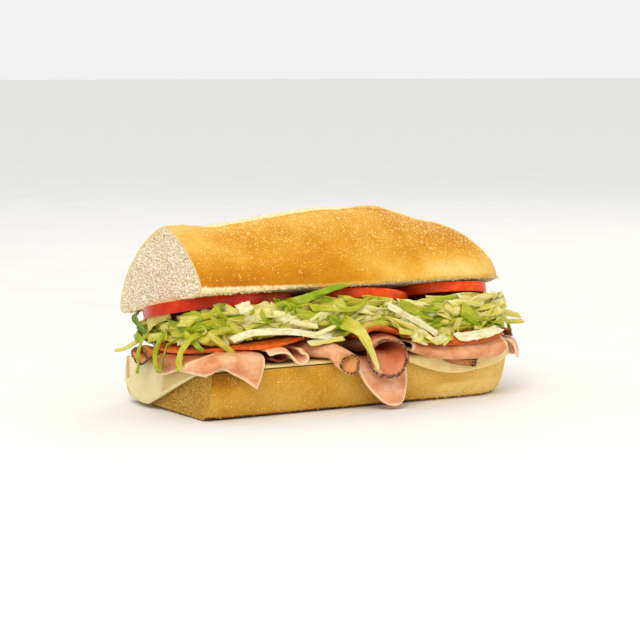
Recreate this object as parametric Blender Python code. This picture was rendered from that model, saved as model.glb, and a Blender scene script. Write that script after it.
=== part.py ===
"""Submarine sandwich: a crusty roll cut across at its left end, filled with
cheese, folded ham, salami, onion, shredded lettuce and tomato.

Lengths are in millimetres until a mesh is made, in metres, by make_node.
+X runs along the roll from the cut end to the rounded end, -Y is the open
front, +Z is up. The pieces are children of the empty named sandwich, which
stands BASE_DROP above the roll's flat underside, so heights below are given
from there, and the underside itself is at height 0 in the world.
"""

import math
import random

import bmesh
import bpy
from mathutils import Euler, Vector
from mathutils.bvhtree import BVHTree

MM = 0.001
GAP = 0.3

# Roll: driving dimensions
ROLL_LENGTH = 191.0
CUT_END = -ROLL_LENGTH / 2
TIP = ROLL_LENGTH / 2
HALF_WIDTH = 46.0
REAR_HALF_WIDTH = 44.5
REAR_SHOULDER = 3.2
ROUND_LENGTH = 36.0
ROUND_START = TIP - ROUND_LENGTH
ROUND_POWER = 2.2

# Bottom half
BASE_DROP = 1.6
FRONT_HEIGHT = 22.0
REAR_HEIGHT = 21.0
BASE_INSET = 9.5
HEEL_LIFT = 2.4
HEEL_LENGTH = 14.0

# Top half, in its own tilted frame: v runs across it and n stands on its cut
LID_TILT = math.radians(11.3)
LID_SHIFT = 5.0
LID_LEVEL = 52.7
LID_HALF_WIDTH = 42.6
LID_CREST_ACROSS = -12.0
LID_CRUMB = 2.4
LID_POWER = 2.3
LID_SHORT = 2.0
CREST_X = (-95.5, -78.0, -55.5, -32.5, -9.5, 8.5, 29.5, 38.5, 51.5, 60.5, 70.5, 80.0, 88.0, 95.5)
CREST_HEIGHT = (34.7, 34.3, 36.4, 38.9, 40.4, 40.7, 40.0, 37.6, 32.4, 30.0, 27.2, 22.6, 16.8, 8.0)
SCORE_SWELL = 1.6

# Slices and strips: thickness
CHEESE = 2.0
HAM = 1.7
SALAMI = 1.6
ONION = 1.8
SHRED = 1.0

# Tomato slices: name, middle, radius, thickness, droop at the right end, straight cut
TOMATOES = (
    ("tomato_left", -65.4, 1.6, 36.6, 5.6, 0.0, (math.radians(-73.7), 33.4)),
    ("tomato_middle", 6.9, -7.0, 29.6, 4.9, 6.6, None),
    ("tomato_right", 57.6, -10.0, 26.0, 5.0, 2.6, None),
)

# Heap of shredded lettuce
HEAP_MIDDLE = (-2.5, -0.5)
HEAP_HALF_LENGTH = 88.0
HEAP_HALF_DEPTH = 39.0
HEAP_POWER = 4.0
SHRED_COUNT = 30
SHRED_SEED = 11
SHRED_TRIES = 10

MATERIALS = {
    "crust": ((0.60, 0.30, 0.07), 0.55),
    "cheese": ((0.80, 0.72, 0.42), 0.45),
    "ham": ((0.80, 0.36, 0.26), 0.40),
    "peppered_ham": ((0.55, 0.24, 0.10), 0.50),
    "salami": ((0.62, 0.08, 0.02), 0.35),
    "tomato": ((0.60, 0.04, 0.01), 0.25),
    "onion": ((0.85, 0.82, 0.70), 0.30),
    "lettuce": ((0.42, 0.55, 0.10), 0.40),
}


# Meshes


def clear_scene():
    """Remove every object that the file opened with."""
    for thing in list(bpy.data.objects):
        bpy.data.objects.remove(thing, do_unlink=True)


def material(slot):
    """The slot's plain material, made once."""
    found = bpy.data.materials.get(slot)
    if found:
        return found
    colour, roughness = MATERIALS[slot]
    made = bpy.data.materials.new(slot)
    made.use_nodes = True
    shader = made.node_tree.nodes["Principled BSDF"]
    shader.inputs["Base Color"].default_value = (*colour, 1.0)
    shader.inputs["Roughness"].default_value = roughness
    made.diffuse_color = (*colour, 1.0)
    return made


def make_node(name, points, faces, slot, at=(0.0, 0.0, 0.0), tilt=0.0):
    """One named object from points in millimetres round the place at."""
    mesh = bpy.data.meshes.new(name)
    mesh.from_pydata([Vector(p) * MM for p in points], [], faces)
    tidy = bmesh.new()
    tidy.from_mesh(mesh)
    bmesh.ops.recalc_face_normals(tidy, faces=tidy.faces)
    tidy.to_mesh(mesh)
    tidy.free()
    mesh.materials.append(material(slot))
    mesh.shade_smooth()
    mesh.set_sharp_from_angle(angle=math.radians(50))
    node = bpy.data.objects.new(name, mesh)
    bpy.context.collection.objects.link(node)
    node.location = Vector(at) * MM
    node.rotation_euler = Euler((-tilt, 0.0, 0.0))
    node.parent = bpy.data.objects["sandwich"]
    return node


def ease(t):
    """0 to 1 with a soft start and end."""
    t = min(max(t, 0.0), 1.0)
    return t * t * (3 - 2 * t)


def curve_at(points, t):
    """The value at t, from 0 to 1, on a smooth curve through points."""
    spans = len(points) - 1
    place = min(max(t, 0.0), 1.0) * spans
    i = min(int(place), spans - 1)
    f = place - i
    b, c = points[i], points[i + 1]
    a = points[i - 1] if i else b * 2 - c
    d = points[i + 2] if i + 2 <= spans else c * 2 - b
    bend = (a * 2 - b * 5 + c * 4 - d) * (f * f)
    twist = (b * 3 - a - c * 3 + d) * (f * f * f)
    return (b * 2 + (c - a) * f + bend + twist) * 0.5


def value_at(x, places, values):
    """Straight-line reading of values at x."""
    if x <= places[0]:
        return values[0]
    for i in range(len(places) - 1):
        if x <= places[i + 1]:
            f = (x - places[i]) / (places[i + 1] - places[i])
            return values[i] + (values[i + 1] - values[i]) * f
    return values[-1]


def even(count):
    """Stations from 0 to 1 in count equal steps."""
    return [k / count for k in range(count + 1)]


def rails_surface(rails):
    """Surface through several curves: s goes across them and t along them."""
    curves = [[Vector(p) for p in rail] for rail in rails]

    def surface(s, t):
        return curve_at([curve_at(curve, t) for curve in curves], s)

    return surface


def offset(surface, a, b, lift, step=0.01):
    """The point that stands lift off the surface at a, b."""
    low_a, high_a = max(a - step, 0.0), min(a + step, 1.0)
    low_b, high_b = max(b - step, 0.0), min(b + step, 1.0)
    along = surface(high_a, b) - surface(low_a, b)
    across = surface(a, high_b) - surface(a, low_b)
    return surface(a, b) + along.cross(across).normalized() * lift


def sheet(name, surface, rows, columns, thickness, slot):
    """A slice of even thickness on a surface, read at rows and columns, both
    faces split into triangles alike."""
    points = []
    for lift in (thickness / 2, -thickness / 2):
        for s in rows:
            points += [offset(surface, s, t, lift) for t in columns]
    width, height = len(columns), len(rows)
    layer = width * height
    faces = []
    for i in range(height - 1):
        for j in range(width - 1):
            a = i * width + j
            b, c, d = a + 1, a + width + 1, a + width
            faces += [(a, b, c), (a, c, d)]
            faces += [(layer + a, layer + c, layer + b), (layer + a, layer + d, layer + c)]
    rim = list(range(width))
    rim += [i * width + width - 1 for i in range(1, height)]
    rim += [(height - 1) * width + j for j in range(width - 2, -1, -1)]
    rim += [i * width for i in range(height - 2, 0, -1)]
    for k, a in enumerate(rim):
        b = rim[(k + 1) % len(rim)]
        faces += [(a, layer + a, layer + b), (a, layer + b, b)]
    return make_node(name, points, faces, slot)


def ring_faces(rings, sides):
    """Triangles that join each ring of points to the next."""
    faces = []
    for start, end in zip(rings, rings[1:]):
        for k in range(sides):
            m = (k + 1) % sides
            faces += [(start + k, start + m, end + m), (start + k, end + m, end + k)]
    return faces


def disc(name, outline, upper, lower, fractions, sides, slot, bulge=0.0):
    """A round piece. outline(angle) is its edge in plan, and upper(x, y) and
    lower(x, y) are its faces; bulge is how far its rim's middle stands out."""
    angles = [2 * math.pi * k / sides for k in range(sides)]
    edge = [Vector(outline(angle)) for angle in angles]
    middle = sum(edge, Vector((0.0, 0.0))) / sides
    points, rings = [], []
    for fraction in fractions:
        rings.append(len(points))
        points += [upper(*(middle + (place - middle) * fraction)) for place in edge]
    if bulge:
        rings.append(len(points))
        for place in edge:
            x, y = middle + (place - middle) * (1.0 + bulge)
            points.append((upper(x, y) + lower(x, y)) / 2)
    for fraction in reversed(fractions):
        rings.append(len(points))
        points += [lower(*(middle + (place - middle) * fraction)) for place in edge]
    faces = ring_faces(rings, sides)
    for start, face in ((rings[0], upper), (rings[-1], lower)):
        hub = len(points)
        points.append(face(*middle))
        faces += [(hub, start + k, start + (k + 1) % sides) for k in range(sides)]
    return make_node(name, points, faces, slot)


def faces_of(surface, thickness):
    """Upper and lower faces of a slice round its middle surface(x, y)."""
    reach = 0.5

    def face(lift):
        def at(x, y):
            along = surface(x + reach, y) - surface(x - reach, y)
            across = surface(x, y + reach) - surface(x, y - reach)
            return surface(x, y) + along.cross(across).normalized() * lift

        return at

    return face(thickness / 2), face(-thickness / 2)


def shell_tube(name, stations, sides, wall, depth, slot):
    """A rolled slice, open at its mouth. Each station is a centre, the two
    radii and the direction that its ring faces; the mouth is the first."""
    points, rings = [], []

    def ring(station, shrink):
        centre, wide, high, facing = station
        facing = Vector(facing).normalized()
        side = facing.cross(Vector((0.0, 0.0, 1.0))).normalized()
        upward = side.cross(facing)
        rings.append(len(points))
        for k in range(sides):
            angle = 2 * math.pi * k / sides
            out = side * (math.cos(angle) * (wide - shrink)) + upward * (math.sin(angle) * (high - shrink))
            points.append(Vector(centre) + out)

    for station in reversed(stations):
        ring(station, 0.0)
    for station in stations[:depth]:
        ring(station, wall)
    faces = ring_faces(rings, sides)
    for start in (rings[0], rings[-1]):
        hub = len(points)
        points.append(sum((points[start + k] for k in range(sides)), Vector()) / sides)
        faces += [(hub, start + k, start + (k + 1) % sides) for k in range(sides)]
    return make_node(name, points, faces, slot)


def ribbon(path, outward, width, thickness, segments, roll=0.0, swirl=0.0, taper=1.0, grow=0.0):
    """Points and faces of a strip along path. Its flat side faces outward,
    turned by roll degrees at the start and by swirl more at the end."""
    points, faces = [], []
    for k in range(segments + 1):
        t = k / segments
        place = curve_at(path, t)
        heading = (curve_at(path, t + 0.02) - curve_at(path, t - 0.02)).normalized()
        across = heading.cross(outward).normalized()
        facing = across.cross(heading).normalized()
        angle = math.radians(roll + swirl * t)
        turned = across * math.cos(angle) + facing * math.sin(angle)
        flat = turned.cross(heading)
        half = (width * (1 + (taper - 1) * t)) / 2 + grow
        thick = thickness / 2 + grow
        stretch = heading * (grow if k == segments else -grow if k == 0 else 0.0)
        for side, lift in ((-1, -1), (1, -1), (1, 1), (-1, 1)):
            points.append(place + stretch + turned * (half * side) + flat * (thick * lift))
    for k in range(segments):
        a, b = 4 * k, 4 * k + 4
        for m in range(4):
            n = (m + 1) % 4
            if m % 2:
                faces += [(a + m, a + n, b + n), (a + m, b + n, b + m)]
            else:
                faces += [(a + m, b + n, b + m), (a + m, a + n, b + n)]
    last = 4 * segments
    faces += [(0, 2, 1), (0, 3, 2), (last, last + 1, last + 2), (last, last + 2, last + 3)]
    return points, faces


# Roll


def roll_half_width(x, half, power):
    """Half width of the roll's outline at x, which rounds off to the tip."""
    if x <= ROUND_START:
        return half
    f = min((x - ROUND_START) / ROUND_LENGTH, 1.0)
    return half * (1 - f ** power) ** (1 / power)


def edge_wave(x):
    """Slight unevenness of the crust along the roll."""
    return 0.5 * math.sin(x / 17.0 + 0.6) + 0.3 * math.sin(x / 7.3)


def stations_along(straight, turned):
    """Stations from the cut end to the tip, closer together where it rounds."""
    run = [CUT_END + (ROUND_START - CUT_END) * i / straight for i in range(straight + 1)]
    for k in range(1, turned + 1):
        run.append(ROUND_START + ROUND_LENGTH * math.sin(math.pi / 2 * k / turned))
    return run


def cut_level(y):
    """Height of the bottom half's cut at y."""
    f = (y + HALF_WIDTH) / (HALF_WIDTH + REAR_HALF_WIDTH)
    return FRONT_HEIGHT + (REAR_HEIGHT - FRONT_HEIGHT) * f


def bun_bottom():
    """Bottom half: layers of the outline, drawn in towards the flat base."""
    places = stations_along(14, 11)
    turns = [math.radians(a) for a in (0, 10, 22, 35, 48, 62, 76, 90)]
    count = len(places)
    points, faces = [], []
    for turn in turns:
        inset = BASE_INSET * (1 - math.sin(turn))
        rise = 1 - math.cos(turn)
        near, far = [], []
        for x in places:
            front = roll_half_width(x, HALF_WIDTH - inset, ROUND_POWER)
            shoulder = REAR_SHOULDER * ease((rise - 0.45) / 0.55)
            rear = roll_half_width(x, REAR_HALF_WIDTH - inset - shoulder, ROUND_POWER)
            bulge = edge_wave(x) * rise * front / HALF_WIDTH
            if x > ROUND_START:
                x = ROUND_START + (x - ROUND_START) * (ROUND_LENGTH - inset) / ROUND_LENGTH
            heel = HEEL_LIFT * ease((CUT_END + HEEL_LENGTH - x) / HEEL_LENGTH) * (1 - rise) ** 2
            front_z = -BASE_DROP + (cut_level(-front) + BASE_DROP) * rise
            rear_z = -BASE_DROP + (cut_level(rear) + BASE_DROP) * rise
            near.append(Vector((x, -front - bulge, front_z + heel * 0.3)))
            far.append(Vector((x, rear + bulge, rear_z + heel)))
        points += near + far[:-1]
    ring = 2 * count - 1
    loop = list(range(count)) + [count + i for i in range(count - 2, -1, -1)]
    for layer in range(len(turns) - 1):
        low, high = layer * ring, (layer + 1) * ring
        for k, a in enumerate(loop):
            b = loop[(k + 1) % ring]
            faces += [(low + a, low + b, high + b), (low + a, high + b, high + a)]
    for base in (0, (len(turns) - 1) * ring):
        for i in range(count - 2):
            a, b = base + i, base + i + 1
            c, d = base + count + i + 1, base + count + i
            faces += [(a, b, c), (a, c, d)]
        faces.append((base + count - 2, base + count - 1, base + 2 * count - 2))
    return make_node("bun_bottom", points, faces, "crust")


def lid_section(x, angle):
    """Crust of the top half at x; angle runs from its front edge to its rear."""
    shrink = roll_half_width(x, 1.0, LID_POWER)
    half = LID_HALF_WIDTH * shrink + edge_wave(x + 9.0) * shrink
    height = value_at(x, CREST_X, CREST_HEIGHT)
    crest = LID_CREST_ACROSS * shrink
    front = angle < math.pi / 2
    reach = half + crest if front else half - crest
    power = 1.4 + 0.35 * ease((x - 30.0) / 40.0) if front else 1.62
    v = crest - math.copysign(reach * abs(math.cos(angle)) ** (2 / power), math.cos(angle))
    n = height * math.sin(angle) ** (2 / power)
    scored = ease((x + 88.0) / 20.0) * ease((30.0 - x) / 30.0)
    swell = math.exp(-((v - 1.0) / 7.0) ** 2) - math.exp(-((v + 15.0) / 5.0) ** 2)
    return v, n + SCORE_SWELL * scored * swell


def bun_top():
    """Top half: rings across the roll in its own tilted frame."""
    arc, under = 18, 5
    places = stations_along(13, 10)
    places[-1] = TIP - 0.05
    points, faces = [], []
    for x in places:
        over = [lid_section(x, math.pi * k / arc) for k in range(arc + 1)]
        x -= LID_SHORT * max(x - ROUND_START, 0.0) / ROUND_LENGTH
        low, high = over[0][0], over[-1][0]
        points += [Vector((x, v, n)) for v, n in over]
        lip = min(0.9, (high - low) / 12)
        inner = high - 4 * lip
        span = (high - low) - 8 * lip
        across = [high - lip] + [inner - span * k / under for k in range(under + 1)] + [low + lip]
        drops = [0.6] + [1.0] * (under + 1) + [0.6]
        points += [Vector((x, v, -LID_CRUMB * d)) for v, d in zip(across, drops)]
    ring = len(points) // len(places)
    for i in range(len(places) - 1):
        for k in range(ring):
            a, b = i * ring + k, i * ring + (k + 1) % ring
            faces += [(a, b, b + ring), (a, b + ring, a + ring)]
    faces.append(tuple(range(ring)))
    last = (len(places) - 1) * ring
    faces.append(tuple(last + k for k in range(ring - 1, -1, -1)))
    return make_node("bun_top", points, faces, "crust", at=(0.0, LID_SHIFT, LID_LEVEL), tilt=LID_TILT)


def under_lid(y, n):
    """Height of the plane that is n above the top half's cut, at y."""
    return LID_LEVEL - (y - LID_SHIFT) * math.tan(LID_TILT) + n / math.cos(LID_TILT)


# Cheese


def bend_over(excess, radius):
    """Travel outwards and down of a slice that runs excess past an edge."""
    if excess <= 0:
        return excess, 0.0
    quarter = radius * math.pi / 2
    if excess < quarter:
        return radius * math.sin(excess / radius), radius * (1 - math.cos(excess / radius))
    return radius, radius + excess - quarter


def hanging_stations(flat, hang, radius):
    """Stations along a slice that lies flat, bends over an edge and hangs:
    a few on the flat, four in the bend and three down to the hem."""
    quarter = radius * math.pi / 2
    run = [0.0, flat * 0.5, flat - 1.0]
    run += [flat + quarter * k / 4 for k in range(5)]
    run += [flat + quarter + (hang - quarter) * k / 3 for k in range(1, 4)]
    return run


def cheese_left():
    """Cheese on the cut end's side: flat, then hanging over the cut face with
    a straight edge that runs down from the front corner."""
    inner, radius, longest, rounded = -15.5, 2.3, 23.2, 9.6
    flat = inner - CUT_END
    front, corner = -HALF_WIDTH + 0.2, 12.0
    rears = (37.0, 36.0, 26.0, 24.6, 23.8, 23.4, 23.2, 23.2, 28.5, 34.0, 38.4)
    quarter = radius * math.pi / 2
    stations = hanging_stations(flat, longest, radius)

    def hang(y):
        lowered = longest * min((y - front) / (corner - front), 1.0)
        lowered -= rounded * max((y - corner) / (rears[-1] - corner), 0.0) ** 3
        return max(lowered, quarter + 0.4)

    def surface(s, t):
        y = front + (curve_at(rears, s) - front) * t
        run = curve_at(stations, s)
        excess = run - flat
        if excess > quarter:
            excess = quarter + (excess - quarter) * (hang(y) - quarter) / (longest - quarter)
        out, drop = bend_over(excess, radius)
        sway = 0.7 * abs(math.sin(y / 13.0)) * max(excess, 0.0) / longest
        return Vector((CUT_END - out - sway, y, cut_level(y) + GAP + CHEESE / 2 - drop))

    return sheet("cheese_left", surface, even(10), even(12), CHEESE, "cheese")


def cheese_right():
    """Cheese on the rounded end's side; its front edge hangs over the crust."""
    radius, depth = 2.3, 70.0
    places = (14.5, 22.0, 33.0, 46.0, 58.0, 69.0, 77.0, 83.0)
    hangs = (4.2, 7.8, 10.6, 11.8, 11.2, 9.8, 8.0, 5.6)
    quarter = radius * math.pi / 2
    longest = max(hangs)
    stations = hanging_stations(depth, longest, radius)

    def surface(s, t):
        x = places[0] + (places[-1] - places[0]) * t
        edge = roll_half_width(x, HALF_WIDTH, ROUND_POWER) + edge_wave(x)
        hang = curve_at(hangs, t)
        run = curve_at(stations, s)
        excess = run - depth
        if excess > quarter:
            excess = quarter + (excess - quarter) * (hang - quarter) / (longest - quarter)
        elif excess < 0:
            excess *= (edge + 24.0) / depth
        out, drop = bend_over(excess, radius)
        y = -edge - out
        return Vector((x, y, cut_level(y) + GAP + CHEESE / 2 - drop))

    return sheet("cheese_right", surface, even(10), even(10), CHEESE, "cheese")


# Tomato


def tomato_sink(x, middle, radius, droop):
    """How far a slice has sunk at x, more and more towards its right end."""
    t = min(max((x - middle) / radius, -1.0), 1.0)
    return droop * ((t + 1) / 2) ** 2


def tomato(name, x, y, radius, thickness, droop, cut):
    """A tomato slice under the top half, its round edge slightly uneven."""

    def outline(angle):
        r = radius * (1 + 0.015 * math.sin(5 * angle + x) + 0.01 * math.sin(2 * angle + y))
        if cut:
            face, distance = cut
            turn = math.cos(angle - face)
            if turn > 0:
                r = min(r, distance / turn)
        return x + r * math.cos(angle), y + r * math.sin(angle)

    def surface(px, py):
        n = -LID_CRUMB - GAP - thickness / 2 - tomato_sink(px, x, radius, droop)
        return Vector((px, py, under_lid(py, n)))

    upper, lower = faces_of(surface, thickness)
    return disc(name, outline, upper, lower, (0.62, 0.96), 30, "tomato", bulge=0.008)


# Ham and other meat


def press(y):
    """The fillings lie on the cheese and thin towards the closed rear."""
    return cut_level(y) + GAP + CHEESE, 1.0 - 0.42 * ease((y + 40.0) / 80.0)


def swept(profile, near, far):
    """Surface of a profile in x and z carried along y from near to far."""
    line = [Vector((x, 0.0, z)) for x, z in profile]

    def surface(s, t):
        y = near + (far - near) * s
        point = curve_at(line, t)
        floor, scale = press(y)
        return Vector((point.x, y, floor + (point.z - floor) * scale))

    return surface


def ham_left():
    """Slice that wraps the front corner, with a wavy hem and a pointed end."""
    hem = [(-101.0, -1, 16.6), (-101.2, -12, 18.2), (-101.2, -24, 21.3), (-101.6, -38, 21.6),
           (-99.4, -48.8, 21.8), (-93.2, -50.5, 24.8), (-87, -50.6, 22.0), (-80.5, -50.8, 18.4),
           (-74.0, -51.2, 13.8)]
    bulge = [(-102.0, -1, 22.0), (-102.4, -12, 23.4), (-102.4, -24, 25.4), (-102.0, -38.6, 26.2),
             (-99.6, -49.6, 26.4), (-92, -52.4, 28.0), (-85, -52.6, 27.0), (-77.4, -52.8, 24.4),
             (-71.6, -51.6, 20.0)]
    crest = [(-97.8, 0, 26.7), (-98, -11, 27.1), (-97.6, -25, 27.6), (-95.6, -38, 28.8),
             (-92, -45, 29.8), (-86, -46.4, 30.2), (-80, -46.8, 30.2), (-74, -47.4, 29.4),
             (-68.2, -48.8, 27.0)]
    inner = [(-86, 2, 28.2), (-85, -8, 28.6), (-84, -18, 28.8), (-82, -28, 29.4),
             (-80, -33, 30.3), (-77, -36, 30.5), (-74, -37, 30.5), (-70, -38, 30.2),
             (-66.4, -40, 29.6)]
    return sheet("ham_left", rails_surface([hem, bulge, crest, inner]), even(6), even(16), HAM, "ham")


def ham_fold():
    """Loosely folded slice under the wrapped one."""
    profile = [(-92, 25.4), (-86.5, 27.2), (-80, 26.0), (-73, 25.4), (-67.5, 27.2), (-64, 27.6)]
    return sheet("ham_fold", swept(profile, -40.0, 0.0), even(2), even(10), HAM - 0.2, "ham")


def capicola():
    """Dark slice in the gap beside the wrapped ham."""
    profile = [(-62.8, 27.2), (-59.0, 25.6), (-56.0, 25.6), (-53.6, 26.8)]
    return sheet("capicola", swept(profile, -45.4, 20.0), even(3), even(4), HAM - 0.4, "salami")


def ham_curl():
    """Folded slice whose edge shows as a hook at the front."""
    profile = [(-66, 31.0), (-61, 31.8), (-56, 31.4), (-53, 28.8), (-50.6, 26.4),
               (-47.4, 25.6), (-44.8, 27.4), (-45.4, 30.0), (-48.4, 31.0)]
    surface = swept(profile, -50.4, 26.0)

    def drooped(s, t):
        point = surface(s, t)
        point.z -= 1.6 * ease((-46.4 - point.y) / 3.0)
        return point

    return sheet("ham_curl", drooped, (0.0, 0.025, 0.052, 0.4, 1.0), even(18), HAM - 0.4, "ham")


def ham_roll():
    """Slice rolled into a tube, its peppered mouth turned to the front."""
    stations = [((-22.6, -53.4, 22.2), 5.4, 4.9, (-0.2, -1.0, 0.1)),
                ((-25.4, -51.4, 24.4), 5.3, 5.0, (0.15, -1.0, -0.1)),
                ((-29.6, -47.4, 28.4), 5.2, 3.9, (0.4, -0.9, -0.1)),
                ((-34.5, -41.0, 29.2), 5.6, 3.8, (0.4, -0.9, 0.0)),
                ((-36.5, -28.0, 28.6), 5.6, 3.6, (0.1, -1.0, 0.0)),
                ((-36.5, 26.0, 26.6), 5.6, 2.6, (0.0, -1.0, 0.0))]
    return shell_tube("ham_roll", stations, 12, HAM - 0.2, 4, "ham")


def ham_cup():
    """Slice curled into an open cup with a peppered rim."""
    stations = [((-1.8, -55.0, 24.0), 10.8, 9.6, (-0.2, -1.0, 0.12)),
                ((-0.8, -51.5, 27.2), 10.4, 7.6, (-0.1, -1.0, 0.3)),
                ((0.2, -46.5, 30.4), 9.4, 4.9, (0.0, -1.0, 0.3)),
                ((0.6, -38.0, 29.8), 8.6, 4.4, (0.0, -1.0, 0.0)),
                ((0.6, -24.0, 28.0), 8.2, 4.0, (0.0, -1.0, 0.0)),
                ((0.6, 26.0, 24.4), 8.0, 2.6, (0.0, -1.0, 0.0))]
    return shell_tube("ham_cup", stations, 16, HAM - 0.1, 5, "peppered_ham")


def ham_tongue():
    """Slice whose rounded end hangs to just above the base."""
    left = [(-13.5, -34, 23.2), (-13.6, -45.4, 23.6), (-13.4, -49.2, 20.4), (-9.4, -50.8, 11.4),
            (-4.6, -53.8, 4.0), (-1.6, -55.4, 1.0)]
    middle = [(0.5, -34, 23.2), (0.5, -45.4, 23.6), (0.4, -49.4, 20.4), (1.2, -51.6, 11.0),
              (1.6, -54.8, 3.2), (1.9, -56.2, 0.4)]
    right = [(12.5, -34, 23.2), (12.5, -45.4, 23.6), (12.2, -49.2, 20.4), (11.8, -51.0, 11.4),
             (8.4, -54.2, 3.8), (5.2, -55.8, 1.0)]
    return sheet("ham_tongue", rails_surface([left, middle, right]), even(5), even(10), HAM - 0.4, "ham")


RIGHT_X = (13.0, 19.0, 28.5, 39.0, 51.0, 65.0, 72.0)
RIGHT_NOSE = (28.8, 26.8, 24.4, 22.9, 22.7, 22.6, 25.4)


def ham_right():
    """Slice folded double, its round fold drooping past the front edge."""
    rows = ((30.0, 25.2, 0.0), (-20.0, 26.2, 0.0), (-40.0, 26.3, 0.0), (-47.6, 26.2, 0.3),
            (-52.4, -1.9, 1.0), (-54.2, 0.0, 1.0), (-52.6, 2.0, 1.0), (-46.0, 30.2, 0.2),
            (-38.0, 30.8, 0.0), (-20.0, 30.0, 0.0), (30.0, 27.4, 0.0))
    rails = []
    for y, level, follow in rows:
        rail = []
        for x, nose in zip(RIGHT_X, RIGHT_NOSE):
            back = 1.6 * ease((x - 60.0) / 14.0) if y < -20 else 0.0
            z = nose + level if follow == 1.0 else level + (nose - 25.0) * follow
            rail.append((x, y + back, z))
        rails.append(rail)
    folded = [k / 20 for k in (0, 2, 4, 6, 7, 8, 9, 10, 11, 12, 13, 14, 16, 18, 20)]
    return sheet("ham_right", rails_surface(rails), folded, even(9), HAM - 0.3, "ham")


def ham_end():
    """Slice that droops round the rounded end of the roll."""
    angles = [math.radians(a) for a in (-58, -44, -30, -14, 4, 23, 42)]
    rows = ((0.64, 25.0), (0.86, 25.3), (0.99, 25.8), (1.10, 23.4), (1.16, 16.6))
    rails = []
    for reach, z in rows:
        rail = []
        for k, angle in enumerate(angles):
            c, s = math.cos(angle), math.sin(angle)
            edge = (abs(c) / ROUND_LENGTH) ** ROUND_POWER + (abs(s) / HALF_WIDTH) ** ROUND_POWER
            r = edge ** (-1 / ROUND_POWER) * reach
            lower = 1.2 * math.sin(2.1 * k) if reach > 1 else 0.0
            rail.append((ROUND_START + r * c, r * s, z + lower - 0.01 * r * s))
        rails.append(rail)
    return sheet("ham_end", rails_surface(rails), even(8), even(10), HAM - 0.3, "ham")


def peppered_roll():
    """Small peppered roll that shows at the cut end."""
    stations = [((-103.4, 12.0, 25.0), 10.0, 4.6, (-1.0, 0.1, 0.1)),
                ((-100.0, 12.0, 26.9), 9.6, 3.2, (-1.0, 0.0, 0.4)),
                ((-94.0, 12.0, 26.4), 8.8, 2.2, (-1.0, 0.0, 0.0)),
                ((-72.0, 11.0, 26.4), 8.0, 2.4, (-1.0, 0.0, 0.0))]
    return shell_tube("peppered_roll", stations, 12, HAM - 0.2, 3, "peppered_ham")


def peppered_end():
    """Small peppered curl that stands at the rounded end."""
    profile = [(76.0, 28.0), (79.6, 29.4), (84.0, 30.0), (87.4, 29.0), (88.8, 27.6)]
    line = [Vector((x, 0.0, z)) for x, z in profile]

    def surface(s, t):
        point = curve_at(line, t)
        return Vector((point.x - 2.0 * s * s, -34.0 + 17.0 * s, point.z))

    return sheet("peppered_end", surface, even(3), even(6), HAM - 0.3, "peppered_ham")


def peppered_scrap():
    """Peppered tip of a slice that hangs between the folded ham and the crust."""
    rails = [[(34.0, -50.6, 20.6), (40.0, -50.6, 20.6), (46.0, -50.7, 19.9), (54.6, -50.6, 19.4)],
             [(35.0, -50.6, 19.9), (41.0, -50.6, 19.0), (47.0, -50.9, 18.2), (54.4, -50.7, 17.6)],
             [(36.0, -50.6, 19.2), (42.0, -50.6, 17.5), (49.0, -50.7, 16.4), (53.6, -50.6, 15.8)]]
    return sheet("peppered_scrap", rails_surface(rails), even(2), even(6), 1.1, "peppered_ham")


# Salami


def left_level(x, y):
    """Height of the round slice at the cut end's side, which sinks to the left."""
    rise = 0.085 * min(x + 75.0, 20.0) - 0.003 * max(-75.0 - x, 0.0) ** 2
    return 33.4 + rise - 0.03 * min(y + 46.0, 16.0)


def salami_left():
    """Round slice over the ham of the cut end's side."""
    x, y, wide, deep = -61.5, -6.5, 37.5, 39.5

    def outline(angle):
        r = 1 + 0.012 * math.sin(3 * angle + 0.7)
        return x + wide * r * math.cos(angle), y + deep * r * math.sin(angle)

    def surface(px, py):
        return Vector((px, py, left_level(px, py) - 0.012 * max(-38.0 - py, 0.0) ** 2))

    upper, lower = faces_of(surface, SALAMI)
    return disc("salami_left", outline, upper, lower, (0.5, 0.82, 1.0), 28, "salami")


VAULT_X = -3.0
VAULT_RISE = 4.2
VAULT_SPREAD = 11.0


def vault(x, y):
    """The slices arch over the ham cup, less and less towards the rear."""
    return VAULT_RISE * math.exp(-((x - VAULT_X) / VAULT_SPREAD) ** 2) * (1 - ease((y + 42.0) / 46.0))


RIGHT_ACROSS = (-43.0, -32.0, -5.0, 24.0)
RIGHT_LEVELS = (33.2, 32.8, 31.4, 30.0)


def salami_right():
    """Slice that arches over the ham cup and dips in front of the folded ham."""
    places = (-15.0, -5.0, 6.0, 15.0, 24.0, 34.0, 48.0, 60.0, 71.0)
    rim = (38.4, 39.7, 36.6, 32.4, 29.4, 28.2, 27.6, 28.6, 31.0)
    rows = ((-52.6, None), (-48.6, 3.4), *zip(RIGHT_ACROSS, RIGHT_LEVELS))
    rails = []
    for y, level in rows:
        rail = []
        for x, edge in zip(places, rim):
            back = 1.6 * ease((x - 60.0) / 14.0) if y < -20 else 0.0
            if level is None:
                z = edge
            elif level < 10:
                z = min(edge + level, 33.0 + vault(x, y) * 1.3)
            else:
                z = level + vault(x, y)
            rail.append((x, y + back, z))
        rails.append(rail)
    return sheet("salami_right", rails_surface(rails), even(8), even(12), SALAMI, "salami")


# Onion


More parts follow.
